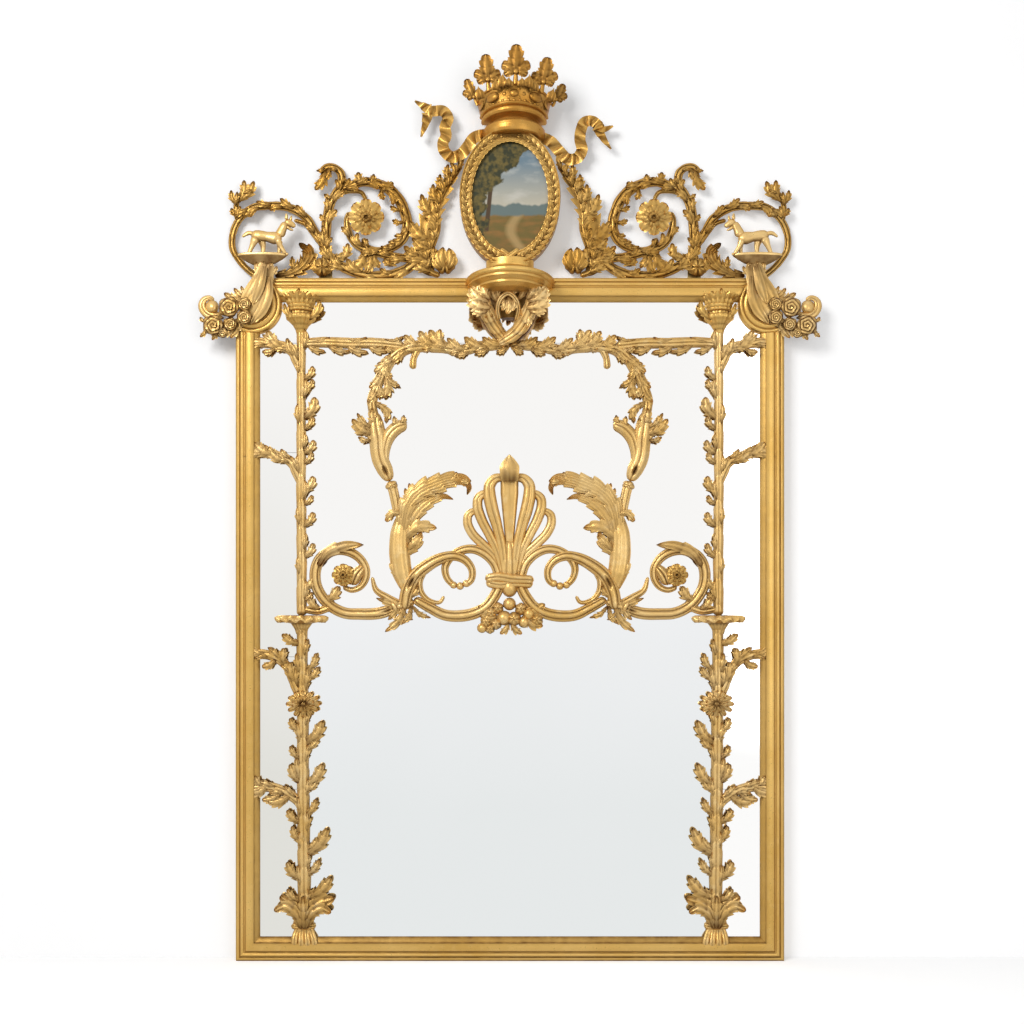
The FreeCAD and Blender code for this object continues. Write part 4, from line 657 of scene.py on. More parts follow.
columns = {
    "shaft": {"rise": 1.1, "strands": 4, "groove": 0.16, "husk": 0.1, "pitch": 26.0},
    "axis": 301.0, "panAxis": 301.5,
    "lower": [(304, 931), (304, 880), (303, 800), (302.5, 720), (302, 660), (302, 626)],
    "upper": [(301.5, 616), (301.5, 560), (301, 500), (301, 440), (301, 390), (301, 329)],
    # base and tip of each leaf, then its width as a share of its length
    "lowerLeaves": [
        (300, 644, 282, 634, 0.75), (306, 672, 316, 653, 0.6), (306, 680, 318, 667, 0.8),
        (300, 733, 290, 718, 0.75),
        (305, 744, 322, 721, 0.75), (305, 750, 318, 738, 0.7), (300, 759, 290, 746, 0.7),
        (300, 783, 290, 764, 0.7),
        (305, 787, 322, 764, 0.75), (305, 792, 317, 780, 0.7), (305, 816, 316, 799, 0.7),
        (301, 823, 287, 810, 0.8),
        (301, 843, 292, 826, 0.7), (305, 855, 327, 829, 0.7), (304, 850, 318, 838, 0.7),
        (301, 880, 287, 862, 0.8),
        (305, 876, 319, 860, 0.7), (305, 898, 331, 878, 0.7), (301, 902, 287, 889, 0.7)],
    "footLeaves": [([(301, 928), (293, 908), (280, 896)], 15, 3.0),
                   ([(306, 928), (314, 908), (334, 898)], 17, 3.0),
                   ([(303, 927), (298, 908), (289, 891)], 12, 2.0),
                   ([(304, 927), (309, 908), (318, 890)], 12, 2.0),
                   ([(302, 929), (295, 914), (284, 907), (274, 911)], 14, 6.0),
                   ([(305, 929), (312, 914), (322, 909), (331, 913)], 14, 6.0),
                   ([(303.5, 929), (303.5, 912), (303, 896)], 11, 7.0)],
    "daisy": (303, 704), "daisyRadius": 17.5,
    "upperLeaves": [(303, 380, 313, 366, 0.75), (303, 391, 313, 379, 0.7), (303, 419, 315, 397, 0.8),
                    (303, 430, 313, 416, 0.7), (303, 454, 314, 440, 0.8), (303, 464, 312, 452, 0.7),
                    (303, 493, 313, 476, 0.8), (303, 505, 312, 495, 0.7), (303, 527, 313, 512, 0.8),
                    (303, 558, 313, 543, 0.75), (303, 590, 313, 577, 0.8), (303, 601, 312, 592, 0.7)],
    "ties": [([(291, 926), (303, 927), (316, 926)], (6, 7, 6), 1.6, 2),
             ([(293, 922), (303, 923), (314, 922)], (4, 4.5, 4), 2.2, 1)],
    "tassel": [((299, 926), (295, 937), (294, 946)), ((302, 926), (301, 938), (301, 947)),
               ((306, 926), (307, 938), (308, 947)), ((309, 926), (313, 937), (315, 946))],
    # radius and line of the pan, the capital's foot and the basket over it
    "pan": [(14, 615.2), (22, 615.4), (25.6, 617.2), (25.4, 619.6), (18, 621.2), (10, 623.6), (6.5, 629),
            (5, 634)],
    "foot": [(4.4, 334), (5.4, 330), (8.0, 325.5), (12.0, 321.5), (14.2, 319.8), (14.6, 317.6), (13.6, 316.0),
             (10.4, 315.2),
             (10.2, 312.5), (12.4, 311.6), (12.9, 310.2), (12.0, 309.0), (12.8, 307.8), (13.2, 306.4),
             (12.2, 305.2)],
    "basket": [(12.0, 306.0), (13.6, 303.5), (14.0, 301.0), (16.4, 298.5), (17.6, 296.8), (17.4, 295.2),
               (14.0, 295.6),
               (1.0, 297.0)],
    "basketLeaves": [(299.5, 299, 299, 288, 0.6), (296, 299, 292, 291, 0.6), (303, 299, 308, 291, 0.6),
                     (309, 320, 320, 300, 0.45), (294, 320, 284, 303, 0.4)],
    "basketOut": 0.012,
    "arms": [[(302, 374), (297, 362), (292, 352), (285, 347), (275, 344), (260, 342), (249, 341)],
             [(302, 486), (297, 474), (293, 465), (285, 458), (275, 455), (262, 452), (248, 449)],
             [(302, 702), (297, 690), (293, 680), (288, 668), (280, 660), (268, 655), (249, 654)],
             [(302, 808), (297, 801), (290, 795), (280, 790), (265, 787), (250, 788)]],
    "armLeaves": [(286, 350, 267, 331, 0.5), (296, 357, 287, 338, 0.4), (276, 347, 262, 352, 0.5),
                  (288, 462, 268, 448, 0.5), (275, 455, 254, 443, 0.6), (290, 459, 281, 449, 0.5),
                  (286, 667, 284, 648, 0.55), (276, 659, 262, 667, 0.6), (266, 654, 250, 648, 0.5),
                  (296, 684, 290, 662, 0.5), (290, 796, 268, 802, 0.6), (264, 787, 255, 776, 0.6),
                  (281, 793, 262, 800, 0.5), (268, 786, 250, 793, 0.6)],
}


def pixelOf(x, z, y):
    # The pixel on which a point in metres falls
    scale = shot["pixel"] * (y - shot["eye"][1]) / (shot["plane"] - shot["eye"][1])
    return np.stack([shot["axis"] + x / scale, shot["level"] - (z - shot["eye"][2]) / scale], -1)


def turnedAt(column, y, profile, **look):
    # A turning whose radii and heights are given in pixels at the depth y
    radii, lines = np.asarray(profile, float).T
    edge = at(column + radii, lines, y)
    x = float(at(column, lines[0], y)[0])
    return turned(x, y, np.stack([edge[:, 0] - x, edge[:, 2]], 1), **look)


def makeColumns():
    c = columns
    shaft = c["shaft"]
    lower = [branch(c["lower"], (13, 12, 11.5, 10.5), glassY, **shaft)]
    lower += leaves(c["lowerLeaves"], glassY, 0.66, lobes=4, lift=4.0, curl=2.0, notch=0.42, blunt=1.5,
                    base=0.6)
    lower += foliage(c["lower"], 15, 26.0, glassY, 0.2, (1, -1), 3, (0.08, 0.9), 0.34, lobes=3, lift=4.2,
                     curl=1.5)
    lower += [leaf(path, wide, glassY, 4, lift, 4.0, 3.0, 3.0, 0.4, 0.35, 0.7, 0.9, 1.7)
              for path, wide, lift in c["footLeaves"]]
    lower += flower(np.array(c["daisy"], float), c["daisyRadius"], 12, glassY, 4.0, 2, 0.2, 0.86, 0.78)
    lower += [branch(path, (6, 6.5, 7), glassY, 1.0, 2, lift=(0, 1, 4, 5)) for path in c["tassel"]]
    lower += [branch(path, widths, glassY, rise, strands) for path, widths, rise, strands in c["ties"]]
    addPair("stem_low", lower, carved, "column_lower")
    pan = [turnedAt(c["panAxis"], glassY, c["pan"], deep=0.8, flutes=15, flute=0.06, rim=0.005)]
    addPair("drooping_pan", pan, carved, "column_pan")
    upper = [branch(c["upper"], (10, 9.5, 9, 8.5), glassY, **shaft)]
    upper += leaves(c["upperLeaves"], glassY, 0.64, lobes=3, lift=3.0, curl=1.5, notch=0.4, blunt=1.5,
                    base=0.55)
    upper += foliage(c["upper"], 11, 22.0, glassY, 0.12, (1, -1), 4, (0.05, 0.93), 0.3, lobes=2, lift=3.4,
                     curl=0.5)
    addPair("stem_high", upper, carved, "column_upper")
    capital = [turnedAt(c["axis"], glassY, c["foot"], flutes=16, flute=0.03),
               turnedAt(c["axis"], glassY, c["basket"], flutes=17, flute=0.08, rim=0.004)]
    capital += leaves(c["basketLeaves"], glassY - c["basketOut"], lobes=3, lift=3.0)
    addPair("basket_capital", capital, framed, "column_capital")
    arms = [branch(path, (8, 9.5, 9.5, 9.5, 10.5), glassY, 1.1, 3, 0.2, 0.08, 18.0) for path in c["arms"]]
    arms += leaves(c["armLeaves"], glassY, lobes=4, lift=4.0, curl=2.0, notch=0.36, blunt=1.6)
    for k, path in enumerate(c["arms"]):
        arms += foliage(path, 4, 20.0, glassY, 0.3, (1, -1), 21 + k, (0.2, 0.75), 0.36, lobes=3, lift=4.0,
                        curl=1.5)
    addPair("gilt_arms", arms, carved, "margin_arms")


makeColumns()
print("columns done")


# Vines and horns

vines = {
    "rod": [(303, 343), (325, 342), (350, 343), (375, 343), (404, 346)],
    "rodLeaves": [(306, 344, 325, 351, 0.36), (326, 344, 350, 351, 0.3), (345, 344, 368, 352, 0.36),
                  (366, 344, 388, 351, 0.34), (384, 346, 402, 351, 0.34), (346, 340, 367, 337, 0.26),
                  (384, 340, 404, 336, 0.26), (310, 341, 330, 337, 0.26)],
    "arch": [(510, 346), (495, 345), (480, 346), (460, 350), (440, 347), (420, 346), (405, 349), (393, 357),
             (386, 367), (380, 378), (375, 390), (372, 402), (374, 415), (379, 428)],
    "archLeaves": [(452, 349, 429, 330, 0.62), (438, 347, 419, 331, 0.6), (470, 350, 447, 338, 0.5),
                   (424, 347, 404, 335, 0.6), (444, 347, 440, 329, 0.6), (396, 356, 377, 364, 0.5),
                   (390, 362, 380, 372, 0.6), (385, 374, 400, 386, 0.42), (386, 377, 384, 398, 0.6),
                   (382, 372, 371, 384, 0.5), (380, 386, 378, 398, 0.6), (490, 347, 464, 337, 0.5),
                   (506, 345, 482, 337, 0.45), (470, 350, 455, 355, 0.4), (490, 347, 474, 353, 0.4),
                   (508, 346, 496, 352, 0.5), (396, 352, 385, 346, 0.5), (388, 355, 374, 372, 0.6),
                   (386, 362, 391, 379, 0.55), (380, 374, 369, 388, 0.6), (378, 382, 387, 396, 0.55),
                   (376, 390, 367, 402, 0.55), (402, 349, 392, 362, 0.55)],
    "archSheath": [(373, 402), (381, 406), (387, 413), (385, 422)],
    "stub": [(418, 348), (414, 357), (412.5, 369)],
    # bodies of the horn with their widths and how far they stand out: the tube, its lip and its left wall
    "horn": [([(390, 481), (385, 470), (380.5, 460), (378.5, 450), (378, 440), (376, 427), (375, 412)],
              (10, 16, 17, 17, 18.5, 16, 9), 0.0),
             ([(387, 470), (384.5, 456), (385, 446), (388.5, 436), (396, 428), (406.5, 423.5)],
              (5, 8, 11, 13, 13, 11), 1.5),
             ([(382, 464), (375.5, 450), (372, 440), (366, 430)], (5, 7, 7, 5), 2.0)],
    "hornTail": [(391, 482), (394, 494), (398, 514)],
    "hornLeaves": [(374, 434, 352, 419, 0.55), (371, 440, 358, 437, 0.55), (373, 428, 357, 413, 0.4),
                   (378, 428, 372, 408, 0.5), (392, 428, 394, 416, 0.6), (399, 425, 404, 415, 0.6),
                   (381, 432, 381, 418, 0.5)],
}


def makeVines():
    v = vines
    rod = [branch(v["rod"], (9.5, 10.5, 10.5, 11), glassY, 1.0, 4, 0.22, 0.05, 23.0)]
    rod += leaves(v["rodLeaves"], glassY, lobes=3, lift=3.0, curl=1.0, notch=0.4)
    addPair("leafy_rod", rod, carved, "vine_rod")
    arch = [branch(v["arch"], (9, 10, 10.5, 11.5, 11, 10, 8.5), glassY, 1.1, 4, 0.24, 0.1, 19.0),
            branch(v["stub"], (8, 6.5, 7.5), glassY, 1.1, 3, 0.25),
            leaf(v["archSheath"], 10.0, glassY, 5, 4.0, 2.5, 1.0)]
    arch += leaves(v["archLeaves"], glassY, lobes=4, lift=4.0, curl=2.0)
    arch += foliage(v["arch"], 9, 16.0, glassY, 0.28, (1, -1), 7, (0.04, 0.6), 0.45, lobes=3, lift=4.2,
                    curl=1.5)
    addPair("leafy_arch", arch, carved, "vine_arch")
    horn = [branch(path, widths, glassY, 0.9, 4, 0.22, lift=lift, slit=(0.08, 0.24) if lift == 0.0 else None)
            for path, widths, lift in v["horn"]]
    horn += [branch(v["hornTail"], (10, 10, 9.5), glassY, 1.0, 3, 0.2),
             dome((391.5, 485.5), 6.5, glassY, 1.0, 0.0, 5, 0.12, 0.75, -20.0)]
    horn += leaves(v["hornLeaves"], glassY, lobes=4, lift=4.5, curl=3.0)
    addPair("fluted_horn", horn, carved, "cornucopia")


makeVines()
print("vines done")


# Scrolls, acanthus and palmette across the middle joint

middle = {
    "outer": [(414, 601), (395, 608), (380, 613), (360, 614), (345, 613), (332, 607), (322, 597), (316, 585),
              (315, 572), (319, 560), (328, 552), (340, 550), (352, 553), (361, 560), (366, 570), (365, 580),
              (360, 587), (352, 590), (343, 587)],
    "lower": [(501, 583), (494, 597), (486, 607), (475, 613), (460, 616), (445, 615), (430, 608), (414, 599)],
    "inner": [(404, 610), (407, 592), (415, 576), (428, 565), (442, 558), (455, 556), (465, 560), (472, 570),
              (471, 580), (464, 586)],
    "ring": [(500, 580), (494, 563), (485, 554), (472, 549), (460, 551), (450, 558), (445, 568), (447, 578),
             (454, 586)],
    "tendril": [(424, 572), (420, 580), (421, 592), (430, 601), (440, 602), (444, 596)],
    "spur": [(332, 606), (318, 611), (303, 609)],
    "curl": [(402, 606), (386, 597), (376, 590), (372, 577)],
    "scrollLeaves": [(324, 602, 338, 586, 0.6), (320, 610, 309, 597, 0.6), (410, 602, 376, 598, 0.24),
                     (405, 604, 385, 632, 0.3), (411, 606, 402, 624, 0.36), (398, 600, 388, 620, 0.36),
                     (404, 598, 394, 607, 0.6), (408, 598, 418, 586, 0.5), (412, 606, 430, 618, 0.3),
                     (404, 612, 412, 620, 0.5)],
    "scrollTop": [(318, 566), (327, 553), (343, 546), (362, 544)],
    "cup": [(364, 566), (357, 574), (352, 585)],
    "stalk": [(408, 592), (402, 572), (399.5, 552), (400, 532), (404, 514)],
    "plume": [(403, 548), (404, 522), (409, 504), (421, 491), (436, 484), (452, 479), (464, 480), (469, 487),
              (467, 494)],
    "plumeShade": 0.6,
    "frond": [(404, 548), (410, 524), (420, 508), (432, 499), (444, 496), (453, 499)],
    "curls": [([(404, 538), (418, 527), (436, 527)], 15), ([(408, 550), (414, 543), (422, 535)], 10),
              ([(402, 514), (393, 513), (385, 521)], 9)],
    "plumeLeaves": [(405, 556, 421, 531, 0.36), (404, 512, 405, 488, 0.4), (408, 506, 409, 483, 0.4),
                    (416, 498, 420, 480, 0.4), (426, 492, 429, 477, 0.45), (438, 486, 441, 476, 0.5),
                    (446, 483, 457, 472, 0.6), (458, 480, 471, 480, 0.5), (398, 580, 393, 556, 0.3)],
    # the straps of the palmette, each with its widths and how far it stands out
    "straps": [([(505, 574), (501.5, 545), (496.5, 524), (492, 508), (489.5, 494), (490, 484.5), (495, 478.5),
                 (504, 477)],
                (6, 8, 9.5, 10.5, 12.5, 13, 11, 7), 2.6),
               ([(503, 574), (497, 551), (489, 534), (481, 518), (477.5, 506), (478.5, 498), (483, 494),
                 (490, 494)],
                (6, 8, 9, 9.5, 10, 10.5, 9.5, 6), 1.3),
               ([(501, 574), (494, 555), (482, 543.5), (472, 533), (467.5, 522), (468.5, 515), (473, 511.5),
                 (480, 512.5)],
                (6, 8, 9, 9.5, 9.5, 9.5, 8.5, 5), 0.0)],
    "centreStrap": [(509.5, 576), (509.5, 545), (509.5, 510), (509.5, 473)],
    "axis": 509.5,
    "beads": [(466, 583.5, 3.6), (460, 586, 3.8), (453.5, 585, 3.6)],
    "bud": [(509.5, 481), (509.5, 470), (509.5, 454.5)],
    "fruit": [(509.5, 604, 6.5), (498, 608, 6.0), (491, 613, 6.0), (504, 618, 7.5), (514, 619, 7.5),
              (521, 609, 6.5),
              (529, 614, 6.5), (537, 620, 6.5), (486, 622, 6.0), (482, 628, 5.0), (490, 629, 5.0),
              (541, 611, 4.5),
              (524, 622, 6.0), (496, 624, 6.0)],
    "fruitLeaves": [(500, 612, 478, 606, 0.6), (520, 612, 545, 604, 0.6), (498, 616, 480, 616, 0.6),
                    (522, 616, 543, 626, 0.6), (509, 622, 500, 634, 0.6), (511, 622, 522, 634, 0.6)],
}


def makeMiddle():
    m = middle
    look = {"rise": 1.15, "strands": 3, "groove": 0.27}
    scroll = [branch(m["outer"], (10, 12, 11.5, 11, 11, 10, 8, 5), glassY, slit=(0.07, 0.16), **look),
              branch(m["lower"], (11, 11.5, 12, 11, 9), glassY, **look),
              branch(m["inner"], (12, 14, 13, 10.5, 8, 6), glassY, slit=(0.16, 0.3), lift=1.5, **look),
              branch(m["ring"], (10, 10, 9, 8, 6), glassY, **look),
              branch(m["tendril"], (6, 6, 5, 3), glassY, lift=2.0, **look),
              branch(m["spur"], (8, 8, 7), glassY, **look),
              branch(m["curl"], (9, 8, 6, 3), glassY, lift=1.0, **look),
              branch(m["cup"], (8, 13, 10), glassY, 1.2, 4, 0.3),
              leaf(m["scrollTop"], 13.0, glassY, 2, 6.0, 3.0, 1.0, 4.0, 0.4, 0.3, 0.5, 0.5),
              *[dome((x, y), r, glassY, 1.4, 2.0) for x, y, r in m["beads"]],
              branch([(390, 601), (394, 606), (397, 613)], (9, 11, 9), glassY, 1.6, 3, 0.3)]
    scroll += leaves(m["scrollLeaves"], glassY, lobes=4, lift=4.0, curl=2.5)
    addPair("strand_scroll", scroll, carved, "scroll")
    plume = [branch(m["stalk"], (11, 20, 21, 19, 13), glassY, 0.85, 5, 0.2),
             leaf(m["frond"], 17.0, glassY, 6, 2.5, 4.0, 0.5, 4.0, 0.6, 0.3, 0.9, 0.45, 1.2, 4),
             leaf(m["plume"], 23.0, glassY, 9, 3.5, 5.0, 0.5, 5.0, 0.6, 0.3, 0.9, 0.5, 1.3, 6)]
    plume += [leaf(path, wide, glassY, 4, 5.0, 3.5, 2.0, 4.0, 0.5, 0.35) for path, wide in m["curls"]]
    plume += leaves(m["plumeLeaves"], glassY, lobes=3, lift=3.5, curl=1.5)
    plume = [(patch, paintedShade * m["plumeShade"]) for patch, paintedShade in plume]
    addPair("acanthus_plume", plume, carved, "acanthus")

    shell = [branch(m["centreStrap"], (8, 8, 10, 14, 18, 18), glassY, 0.75, 1, 0.0, hollow=0.3),
             branch([(509.5, 580), (509.5, 560), (509.5, 540)], (21, 19, 13), glassY, 0.8, 5, 0.3)]
    for path, widths, lift in m["straps"]:
        for sign in (1, -1):
            rib = [(m["axis"] + (x - m["axis"]) * sign, y) for x, y in path]
            shell.append(branch(rib, widths, glassY, 1.1, 2, 0.2, lift=lift))
    shell += [leaf(m["bud"], 20.0, glassY, 1, 9.0, 5.0, 0.5, 8.0, 0.85, 0.0, 0.0, 0.2, 1.2),
              branch([(485, 579), (497, 577), (512, 579), (534, 580)], (9, 10, 10, 9), glassY, 1.6, 2, 0.2,
                     lift=3.0),
              branch([(486, 582), (500, 585), (516, 583), (533, 584)], (9, 9.5, 9.5, 9), glassY, 1.5, 2, 0.2,
                     lift=2.0),
              dome((509.5, 588), 8.0, glassY, 1.2, 0.0, 0, 0.0, 1.15)]
    addPiece("strap_palmette", shell, carved, "palmette")
    swag = [dome((x, y), r, glassY, 1.3, 0.0, 6 if k % 3 else 0, 0.14)
            for k, (x, y, r) in enumerate(m["fruit"])]
    swag += leaves(m["fruitLeaves"], glassY, lobes=3, lift=3.0)
    addPiece("fruit_cluster", swag, carved, "fruit_swag")


makeMiddle()
print("middle carving done")


# Shelf bracket, crossed branches and medallion

bracket = {
    "top": 2.045, "half": 0.135, "axis": 508.5, "heartOut": 0.058, "bossOut": 0.070,
    # the plinth stands nearer the wall than the shelf's front
    "plinthY": -0.026,
    # shares of the half width, with heights under the shelf's top in millimetres
    "shelf": [(0.90, 0), (0.975, 0.5), (1.0, 4), (1.0, 11), (0.975, 15), (0.945, 17), (0.945, 23), (0.90, 26),
              (0.84, 32), (0.84, 38), (0.78, 42), (0.72, 46), (0.3, 50)],
    "corbel": [(0.8, 40), (0.66, 46), (0.5, 54), (0.38, 70), (0.3, 92), (0.2, 112)],
    "plinth": [(82, 2.044), (82, 2.052), (74, 2.056), (68, 2.064), (66, 2.076), (72, 2.082), (72, 2.106)],
    "bossLeaves": [(491, 308, 468, 297, 0.7), (489, 302, 470, 287, 0.7), (490, 300, 484, 282, 0.7),
                   (488, 311, 471, 309, 0.6)],
    "branches": [[(479, 290), (485, 306), (491, 320), (499, 332), (509, 343)],
                 [(538, 290), (531, 306), (525, 320), (516, 332), (498, 344)]],
    "loop": [(499, 320), (497.5, 308), (501, 298), (508, 293), (515, 298), (518.5, 308), (516, 321)],
    "heart": [(497, 302, 493, 281, 0.5), (500, 300, 499, 280, 0.45), (504, 297, 506, 281, 0.5),
              (511, 297, 514, 281, 0.5),
              (518, 300, 524, 284, 0.5), (508, 296, 507, 314, 0.6), (503, 297, 502, 311, 0.5),
              (513, 297, 513, 311, 0.5)],
}


def makeBracket():
    b = bracket
    top, half = b["top"], b["half"]
    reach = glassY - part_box("shelf_bracket")[0].y
    shelf, corbel = ([(half * share, top - drop * 0.001) for share, drop in b[name]]
                     for name in ("shelf", "corbel"))
    # Painted shadow: the corbel is painted dark all over, for the shade under the shelf
    dark, shade = turned(0.0, glassY, corbel, deep=0.75)
    patches = [turned(0.0, glassY, shelf, deep=reach / half), (dark, np.maximum(shade, 0.75)),
               turned(0.0, b["plinthY"], [(r * 0.001, z) for r, z in b["plinth"]], deep=0.9)]
    addPiece("shelf_corbel", patches, framed, "shelf_bracket")
    stems = [branch(path, (12, 14, 15, 13, 9), glassY, 1.0, 5, 0.3, 0.12, 14.0, lift=lift)
             for path, lift in zip(b["branches"], ((28, 22, 13, 5, 1), (28, 22, 14, 8, 4)))]
    for k, (path, lift) in enumerate(zip(b["branches"], (20.0, 21.0))):
        stems += foliage(path, 4, 18.0, glassY, 0.25, (1, -1), 31 + k, (0.0, 0.3), 0.4, lobes=3, lift=lift,
                         thick=8.0)
    stems.append(branch(b["loop"], (4.5, 5, 5.5, 5, 4.5), glassY, 1.4, 2, 0.3, lift=(12, 20, 24, 20, 12)))
    stems += leaves(b["heart"], glassY - b["heartOut"], lobes=3, lift=3.0, curl=2.0)
    for sign in (1, -1):
        rows = [(b["axis"] + (x0 - b["axis"]) * sign, y0, b["axis"] + (x1 - b["axis"]) * sign, y1, wide)
                for x0, y0, x1, y1, wide in b["bossLeaves"]]
        stems += leaves(rows, glassY - b["bossOut"], lobes=4, lift=6.0, arch=4.0, curl=2.0, thick=9.0,
                        blunt=1.5)
    # the crossed branches take the lighter copy of the gilding, as painted light
    addPiece("crossed_branches", stems, paintedLightGilding, "bracket_branches")


laurel = {
    "halfWide": 0.151, "halfTall": 0.204, "sightWide": 0.1125, "sightTall": 0.1655, "back": -0.018,
    "front": -0.084, "steps": 25, "leafLength": 11.5, "leafWidth": 4.7,
    # share of the way in from the outer edge and share of the depth
    "section": [(0.0, 0.0), (0.0, 0.80), (0.02, 0.90), (0.06, 0.95), (0.11, 0.93), (0.15, 0.84), (0.18, 0.74),
                (0.28, 0.74), (0.36, 0.82), (0.5, 0.86), (0.62, 0.82), (0.74, 0.74), (0.80, 0.72),
                (0.83, 0.84),
                (0.87, 0.91), (0.91, 0.89), (0.94, 0.82), (0.96, 0.74), (1.0, 0.70), (1.0, 0.55),
                (0.93, 0.0)],
    # share of the way in and how dark the painted shade in the hollow is there
    "lines": [(0.0, 0.6), (0.05, 0.0), (0.14, 0.3), (0.19, 1.0), (0.25, 0.8), (0.75, 0.8), (0.8, 1.0),
              (0.84, 0.0), (0.92, 0.1), (1.0, 0.8)],
    # the two strips that tie the wreath at its foot, each with its height
    "ties": [([(500, 249), (508, 255), (516, 261)], 0.0), ([(519, 249), (511, 255), (503, 261)], 0.8)],
}


def makeMedallion():
    # Oval frame: the section s -> depth carried round (a cos, b sin), then rows of laurel leaves over it
    m = laurel
    low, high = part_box("medallion_frame")
    centre = (low.z + high.z) * 0.5
    s, rise = np.array(m["section"]).T
    turn = np.linspace(0, 2 * np.pi, 161)[:, None]
    wide = m["halfWide"] + (m["sightWide"] - m["halfWide"]) * s
    tall = m["halfTall"] + (m["sightTall"] - m["halfTall"]) * s
    depth = m["back"] + (m["front"] - m["back"]) * rise
    ring = np.stack(np.broadcast_arrays(wide * np.cos(turn), depth, centre + tall * np.sin(turn)), -1)
    dark = np.interp(s, *zip(*m["lines"]))
    patches = [(ring, np.broadcast_to(dark, ring.shape[:2]))]
    front = m["front"] - (m["front"] - m["back"]) * 0.2
    for side in (1, -1):
        for k, angle in enumerate(np.linspace(-82, 84, m["steps"])):
            for offset in (-1, 1):
                near = np.radians(angle + 1.6 * offset)
                path = []
                for share, drift in ((0.0, 0.0), (0.5, 0.7), (1.0, 1.0)):
                    bend = near + np.radians(4.2) * share
                    lane = 0.5 + offset * (0.05 + 0.15 * drift)
                    x = (m["halfWide"] + (m["sightWide"] - m["halfWide"]) * lane) * np.cos(bend) * side
                    z = centre + (m["halfTall"] + (m["sightTall"] - m["halfTall"]) * lane) * np.sin(bend)
                    path.append(pixelOf(x, z, front))
                grow = m["leafLength"] / max(np.hypot(*(path[2] - path[0])), 1.0)
                path = [path[0] + (p - path[0]) * grow for p in path]
                patches.append(leaf(path, m["leafWidth"], front, 1, 0.4, 1.8, 1.2, 1.2, 0.35, 0.0, 0.0, 0.3))
            if k % 2:
                patches.append(dome(path[0], 1.3, front, 0.9, 1.4))
    patches += [branch(path, (5, 5.5, 5), front, 0.9, 3, 0.25, lift=lift) for path, lift in m["ties"]]
    addPiece("laurel_frame", patches, framed, "medallion_frame")


makeBracket()
makeMedallion()
print("medallion done")


# Crown and ribbons

crown = {
    "x": 0.012, "y": -0.018, "radius": 0.115, "base": 2.465, "height": 0.140,
    "section": [(0.60, 0.06), (0.76, 0.06), (0.80, 0.08), (0.82, 0.13), (0.83, 0.20), (0.82, 0.27),
                (0.78, 0.315),
                (0.66, 0.33), (0.64, 0.40), (0.70, 0.43), (0.83, 0.45), (0.865, 0.49), (0.86, 0.54),
                (0.83, 0.575),
                (0.88, 0.59), (0.905, 0.61), (0.90, 0.635), (0.885, 0.65), (0.92, 0.80), (0.955, 0.935),
                (0.985, 0.945),
                (1.0, 0.965), (0.995, 0.99), (0.97, 1.0), (0.92, 1.0), (0.88, 0.9), (0.5, 0.85)],
    "dip": 0.016,
    # angle round the circlet, height share, radius in pixels and stretch of each jewel
    "jewels": [(0, 0.80, 4.8, 0.85), (-38, 0.80, 8.4, 0.62), (38, 0.80, 8.4, 0.62), (-68, 0.80, 6.0, 0.8),
               (68, 0.80, 6.0, 0.8), (-16, 0.80, 2.2, 1.0), (16, 0.80, 2.2, 1.0), (-8, 0.72, 1.6, 1.0),
               (8, 0.72, 1.6, 1.0), (-8, 0.88, 1.6, 1.0), (8, 0.88, 1.6, 1.0), (-56, 0.80, 2.2, 1.0),
               (56, 0.80, 2.2, 1.0)],
    # how many beads, and their height share and radius
    "beads": (17, 0.665, 1.7),
    # the first and last point of the section that the jewels lie on
    "wall": (6, 24),
    "look": {"base": 0.55, "notch": 0.26, "slant": 0.3, "pleat": 0.7, "blunt": 1.9},
    # foot, top, depth and width of each leaf
    "leaves": [((515.5, 85), (516.5, 44), 0.131, 29), ((489, 92), (485.5, 54), 0.097, 27),
               ((541, 94), (548, 57), 0.097, 27), ((478, 106), (466, 79), 0.036, 19),
               ((552, 107), (564, 84), 0.036, 19)],
    "points": [((502, 87), (503, 73), 0.124), ((528, 87), (530, 74), 0.124), ((481, 99), (478, 86), 0.085),
               ((550, 100), (554, 88), 0.085), ((508, 86), (509, 77), 0.129), ((522, 86), (522, 77), 0.129),
               ((496, 90), (496, 79), 0.115), ((534, 91), (535, 80), 0.115)],
}
ribbons = {
    "ribbon_left": [(489, 134), (474, 138), (468, 146), (461, 154), (452, 157), (444, 150), (443, 143),
                    (446, 136),
                    (445, 127), (448, 118), (443, 111), (435, 111), (427, 112)],
    "ribbon_left_tips": [[(430, 110), (423, 106), (415, 101)], [(428, 113), (426, 122), (421, 137)]],
    "ribbon_right": [(531, 135), (551, 142), (560, 152), (568, 159), (577, 158), (582, 150), (580, 140),
                     (581, 130),
                     (585, 122), (592, 121), (599, 126)],
    "ribbon_right_tips": [[(596, 124), (604, 129), (613, 126)], [(597, 126), (603, 138), (611, 149)]],
    "width": 12.0, "pleat": 9.5, "wave": 1.5, "thick": 1.2, "back": -0.018,
}


